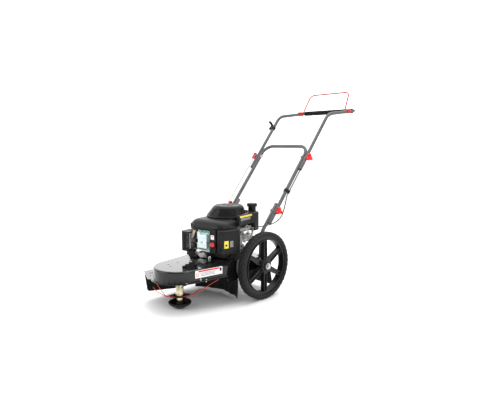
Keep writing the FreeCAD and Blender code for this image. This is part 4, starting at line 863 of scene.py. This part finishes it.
def linkage():
    """Governor link, throttle plate, springs and carburettor fittings behind the filter."""
    rods = Shape(ENGINE)
    rods.tube(round_path([(106, -112, 383), (110, -100, 381), (114, -40, 380), (118, -24, 376),
                          (118, -20, 370.5)],
                         [4, 6, 4]), 1.3)
    rods.tube(round_path([(120, -86, 352), (126, -70, 352), (128, 0, 350), (120, 30, 344)], [5, 8]), 1.2)
    rods.tube(round_path([(116, 26, 327), (126, 34, 327), (128, 56, 330), (118, 62, 336)], [5, 5]), 1.4)
    rods.piece("governor_links", "zinc", "root")
    springs = Shape(ENGINE)
    springs.tube(helix((121, -60, 346), (123, -8, 340), 3.6, 11), 0.55, 6)
    springs.tube(helix((127, -20, 377), (129, 34, 374), 3.2, 10), 0.5, 6)
    springs.piece("governor_springs", "steel", "root")
    plates = Shape(ENGINE)
    plates.prism([(-10, 369), (75, 369), (75, 374), (60, 381), (30, 379), (12, 384), (-4, 381)], 0, 2.2,
                 pointing((112, 0, 0), (1, 0, 0)))
    plates.prism([(20, 300), (58, 304), (62, 322), (52, 338), (30, 336), (18, 322)], 0, 2.0,
                 pointing((117, 0, 0), (1, 0, 0)))
    plates.prism([(-36, 310), (2, 312), (6, 330), (-8, 338), (-30, 334)], 0, 2.4,
                 pointing((115, 0, 0), (1, 0, 0)))
    plates.lathe([(3, 0), (11, 0), (11, 8), (8, 10), (3, 10)], pointing((118, 44, 319), (1, 0, 0)), 30)
    plates.lathe([(2, 0), (8, 0), (8, 9), (5, 11), (2, 11)], pointing((116, -18, 322), (1, 0, 0)), 30)
    plates.piece("throttle_plates", "zinc", "root", bevel=0.4)
    parts = Shape(ENGINE)
    parts.slab((96, -38, 304), (115, 16, 334))
    parts.slab((100, 16, 296), (116, 60, 318))
    parts.lathe([(0, 0), (13, 0), (13, 20), (11, 22), (0, 22)], pointing((100, 30, 326), (1, 0, 0)), 30)
    parts.lathe([(0, 0), (6, 0), (6, 14), (0, 14)], pointing((104, -6, 300), (1, 0, -0.4)), 24)
    parts.piece("throttle_body", "cast_aluminium", "root", bevel=1.2)
    screws = Shape(ENGINE)
    for x, y, z in ((119.4, 28, 308), (119.4, 54, 330), (117.6, -28, 328), (114.4, 66, 372), (114.4, 4, 374)):
        screws.screw(pointing((x, y, z), (1, 0, 0)), 3.4, 3.4)
    screws.screw(pointing((93, -70, 268), (0, 0, -1)), 5, 4)
    screws.piece("linkage_screws", "zinc", "root", bevel=0.25)


# ---------------------------------------------------------------- handle
def foam_sleeve():
    """Foam grip with rounded ends and a slightly uneven thickness along its length."""
    corner = 52.0
    slope = 39.0 / (905.0 - 579.2)
    end_y = 905.0 - corner - 2
    end_z = 1030.0 - (905.0 - end_y) * slope
    knots = round_path([(190.2, end_y, end_z), (190.2, 905, 1030), (-190.2, 905, 1030),
                        (-190.2, end_y, end_z)],
                       [corner, corner], 12)
    path = []
    for a, b in zip(knots, knots[1:]):
        count = max(1, round((b - a).length / 6.0))
        path += [a.lerp(b, i / count) for i in range(count)]
    path.append(knots[-1])
    total = len(path) - 1
    rings = []
    ups = Vector((1, 0, 0))
    frames = []
    for i, point in enumerate(path):
        along = (path[min(i + 1, total)] - path[max(i - 1, 0)]).normalized()
        ups = (ups - along * ups.dot(along)).normalized() if abs(ups.dot(along)) < 0.95 else along.orthogonal()
        frames.append((point, ups.copy(), along.cross(ups)))
    def ring(i, radius):
        point, up, side = frames[i]
        return [point + (up * math.cos(math.tau * k / 20) + side * math.sin(math.tau * k / 20)) * radius
                for k in range(20)]
    for i in range(total + 1):
        near = min(i, total - i)
        rim = {0: 11.8, 1: 14.0}.get(near, 14.8)
        rings.append(ring(i, rim - 0.25 * math.sin(i * 0.31) - 0.15 * math.sin(i * 1.7)))
    for i in range(total, -1, -1):
        rings.append(ring(i, 10.15))
    shape = Shape()
    shape.skin(rings, closed=True)
    piece = shape.piece("foam_sleeve", "grip_foam", "upper_handle")
    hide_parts("foam_grip")


LEG_SLOPE = math.radians(50.5)


def leg_point(x, z):
    return Vector((x, 373.0 + (z - 736.0) / math.tan(LEG_SLOPE), z))


def tube_plugs():
    """Black plugs in the open ends of the handle's tubes."""
    down = Vector((0, -math.cos(LEG_SLOPE), -math.sin(LEG_SLOPE)))
    for name, x, z, body in (("lower", 169.6, 385.0, "lower_handle"),
                             ("upper", 190.2, 669.0, "upper_handle")):
        shape = Shape()
        for side in (1, -1):
            place = pointing(leg_point(side * x, z), down)
            shape.lathe([(0, -6), (8.3, -6), (8.3, 0), (10.0, 0), (10.0, 1.4), (8.6, 2.6), (0, 3.0)],
                        place, 30)
        shape.piece(name + "_tube_plugs", "black_plastic", body)
    shape = Shape()
    up = -down
    for side in (1, -1):
        place = pointing(leg_point(side * 149.0, 482.0), up)
        shape.lathe([(0, -6), (8.3, -6), (8.3, 0), (10.0, 0), (10.0, 1.4), (8.6, 2.6), (0, 3.0)], place, 30)
    shape.piece("post_plugs", "black_plastic", "root")


def leg_sticker():
    """Thin white band stuck round part of the near leg."""
    slope = math.atan2(39.0, 905.0 - 579.2)
    direction = (0, math.cos(slope), math.sin(slope))
    z = 991.0 + (664.0 - 579.2) * math.tan(slope)
    place = pointing((190.2, 664.0, z), direction)
    rings = []
    for i in range(17):
        a = math.radians(-70 + 140 * i / 16)
        rings.append([(r * math.cos(a), r * math.sin(a), h) for r,
                      h in ((10.05, -6), (10.3, -6), (10.3, 6), (10.05, 6))])
    shape = Shape()
    shape.skin(rings, place)
    shape.piece("leg_sticker", "label_white", "upper_handle")


def knob_inserts():
    """Pressed-in red plastic disc with a raised ring, and three round lobes, on the face of each clamping
    knob.
    """
    for name, x, z in (("lower_knob", 180.2, 449.0), ("upper_knob", 200.8, 736.0)):
        for side, word in ((1, "left"), (-1, "right")):
            shape = Shape()
            place = pointing(leg_point(side * (x + 20), z), (side, 0, 0))
            shape.lathe([(0, -2), (9.6, -2), (9.6, 0.4), (8.6, 1.4), (6.6, 1.4), (6.0, 0.6), (0, 0.6)],
                        place, 36)
            for i in range(3):
                a = math.radians(90 + 120 * i)
                lobe = place @ Matrix.Translation((15 * math.cos(a), 15 * math.sin(a), 0))
                shape.lathe([(0, -1), (6.4, -1), (6.4, 0.2), (5.0, 1.2), (0, 1.2)], lobe, 24)
            shape.piece(name + "_" + word + "_face", "red_plastic", name + "_" + word)


# ---------------------------------------------------------------- cable and rope
CABLE_JOIN = at(180, 232, 545)
CABLE_LOWER = [at(121, -8, 361), at(124, 30, 366), at(127, 70, 367), at(132, 110, 367), at(144, 142, 374),
               at(162, 165, 391), at(179, 176, 418), at(187, 184, 452), at(188, 200, 504),
               at(180, 215.2, 525.26), CABLE_JOIN]
CABLE_UPPER = [CABLE_JOIN, at(180, 272, 592), at(180.3, 322, 653), at(180, 373, 713), at(179.7, 424, 776),
               at(180, 476, 837), at(180, 529, 904), at(178, 566, 948), at(175, 604, 975), at(173, 652, 993),
               at(172, 704, 1007), at(172, 757, 1018)]
ROPE_FROM = at(-38, -30, 486)
ROPE_TO = at(-215, 520, 915)
ROPE_SPLIT = 0.78


def cable_run(name, node, route):
    """Plastic-sheathed control cable with a faint twist of its armour showing."""
    points = [p for p in spline_points(route)]
    shape = Shape(Matrix.Scale(MM, 4))
    last = len(points) - 1
    shape.tube(points, lambda t: 3.0 - 0.08 * (0.5 + 0.5 * math.sin(t * last * 2.4)), 12)
    piece = shape.piece(name, "cable_black", None)
    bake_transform(piece)
    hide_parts(node)


def rope_run(name, node, share_from, share_to):
    """Three-strand starter rope pulled straight."""
    first = ROPE_FROM.lerp(ROPE_TO, share_from) / MM
    final = ROPE_FROM.lerp(ROPE_TO, share_to) / MM
    place = pointing(first, final - first)
    length = (final - first).length
    count = max(8, int(length / 1.5))
    shape = Shape(Matrix.Scale(MM, 4))
    for strand in range(3):
        points = []
        for i in range(count + 1):
            h = length * i / count
            turn = math.tau * (strand / 3 + h / 9.0)
            points.append(place @ Vector((0.72 * math.cos(turn), 0.72 * math.sin(turn), h)))
        shape.tube(points, 0.86, 6)
    piece = shape.piece(name, "rope_grey", None)
    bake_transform(piece)
    if node:
        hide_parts(node)


def cables_and_rope():
    cable_run("control_cable_lower", "cable_lower", CABLE_LOWER)
    cable_run("control_cable_upper", "cable_upper", CABLE_UPPER)
    rope_run("starter_rope_run", "starter_rope_lower", 0.0, ROPE_SPLIT)
    rope_run("starter_rope_top", "starter_rope_upper", ROPE_SPLIT, 0.985)
    rope_run("starter_rope_stub", None, 0.98, 1.03)
    wire = Shape()
    wire.tube([(172, 757 + 7.2 * i, 1018 + 0.9 * i) for i in range(7)], 0.9, 8)
    piece = wire.piece("cable_inner_wire", "steel", None)
    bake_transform(piece)


# ---------------------------------------------------------------- assembly
CAD_EDGES = {
    "deck_shell": 0.6, "side_skirt": 0.7, "belt_cover": 0.5, "handle_posts": 0.3, "chassis_fasteners": 0.4,
    "head_hub": 0.4, "string_plates": 0.5, "glide_bolt": 0.4, "ground_bead": 0.5, "spindle_housing": 0.6,
    "crankcase": 0.7, "cylinder_head": 0.5, "muffler_guard": 0.4, "air_filter_base": 0.5, "carburettor": 0.5,
    "fuel_cap": 0.5, "control_bracket": 0.4, "brake_lever": 0.4, "oil_cap": 0.5, "left_rim": 0.9,
    "right_rim": 0.9, "lower_knob_left": 1.2, "lower_knob_right": 1.2, "upper_knob_left": 1.2,
    "upper_knob_right": 1.2, "bail_clamps": 0.6, "rope_guide": 0.8, "starter_grip": 0.8, "cable_clip": 0.8,
    "upper_bolts": 0.5, "spark_plug": 0.6, "muffler": 0.5, "spindle_pulley": 0.4, "engine_pulley": 0.4,
}


def round_cad_edges():
    """Small radii on the CAD pieces' sharp edges, as modifiers on their untouched meshes."""
    for name, width in CAD_EDGES.items():
        node = NODES[name]
        weld = node.modifiers.new("join_faces", "WELD")
        weld.merge_threshold = 0.00001
        soften(node, width, crease=40)


for wheel_side in (1, -1):
    tyre(wheel_side)
    hub_trim(wheel_side)
wavy_wall("debris_flap_rubber", "debris_flap", 72, 12, debris_flap_place, 4.0)
wavy_wall("rear_flap_rubber", "rear_flap", 60, 10, rear_flap_place, 4.0)
cover_labels()
cover_fittings()
welds()
recoil_shell()
blower_details()
head_details()
filter_details()
tank_details()
linkage()
foam_sleeve()
tube_plugs()
leg_sticker()
knob_inserts()
cables_and_rope()
round_cad_edges()


# ---------------------------------------------------------------- floor, lights, camera
CAMERA = at(1745.6, -1678.4, 802.4)
CAMERA_YAW = math.radians(44.35)
CAMERA_PITCH = math.radians(6.98)
LENS = 31.94


def make_camera():
    data = bpy.data.cameras.new("camera")
    data.lens = LENS
    data.sensor_width = 36.0
    data.clip_start = 0.05
    data.clip_end = 60.0
    camera = bpy.data.objects.new("camera", data)
    camera.location = CAMERA
    camera.rotation_euler = (math.pi / 2 - CAMERA_PITCH, 0.0, CAMERA_YAW)
    bpy.context.scene.collection.objects.link(camera)
    bpy.context.scene.camera = camera


def make_floor():
    bpy.ops.mesh.primitive_plane_add(size=60)
    floor = bpy.context.object
    floor.name = "studio_floor"
    g = Graph("studio_floor")
    g.link(g.ramp(g.noise(3.0), [(0.0, (0.93, 0.93, 0.93)), (1.0, (0.96, 0.96, 0.96))]),
           g.shader.inputs["Base Color"])
    g.set(Roughness=0.9)
    g.shader.inputs["Specular IOR Level"].default_value = 0.1
    floor.data.materials.append(g.mat)


def area_light(name, place, target, size, power):
    data = bpy.data.lights.new(name, "AREA")
    data.shape = "RECTANGLE"
    data.size, data.size_y = size
    data.energy = power
    lamp = bpy.data.objects.new(name, data)
    lamp.location = place
    lamp.rotation_euler = (Vector(target) - Vector(place)).to_track_quat("-Z", "Y").to_euler()
    bpy.context.scene.collection.objects.link(lamp)


def make_lights():
    world = bpy.data.worlds.new("studio")
    bpy.context.scene.world = world
    world.use_nodes = True
    tree = world.node_tree
    background = tree.nodes["Background"]
    background.inputs["Color"].default_value = (1.0, 1.0, 1.0, 1.0)
    coord = tree.nodes.new("ShaderNodeTexCoord")
    facing = tree.nodes.new("ShaderNodeVectorMath")
    facing.operation = "DOT_PRODUCT"
    facing.inputs[1].default_value = (-0.69, 0.69, 0.2)
    tree.links.new(coord.outputs["Generated"], facing.inputs[0])
    glow = tree.nodes.new("ShaderNodeMapRange")
    glow.interpolation_type = "SMOOTHSTEP"
    glow.inputs["From Min"].default_value = -0.6
    glow.inputs["From Max"].default_value = 0.95
    glow.inputs["To Min"].default_value = 0.62
    glow.inputs["To Max"].default_value = 1.85
    tree.links.new(facing.outputs["Value"], glow.inputs["Value"])
    tree.links.new(glow.outputs["Result"], background.inputs["Strength"])
    area_light("top_softbox", (0.2, 0.2, 3.2), (0, 0, 0.3), (3.0, 3.0), 60)
    area_light("left_softbox", (3.0, -0.6, 1.6), (0, 0, 0.4), (1.6, 2.2), 26)
    area_light("front_softbox", (-1.2, -3.2, 1.8), (0, 0, 0.4), (2.2, 1.6), 30)


make_camera()
make_floor()
make_lights()
bpy.context.scene.view_settings.view_transform = "Standard"
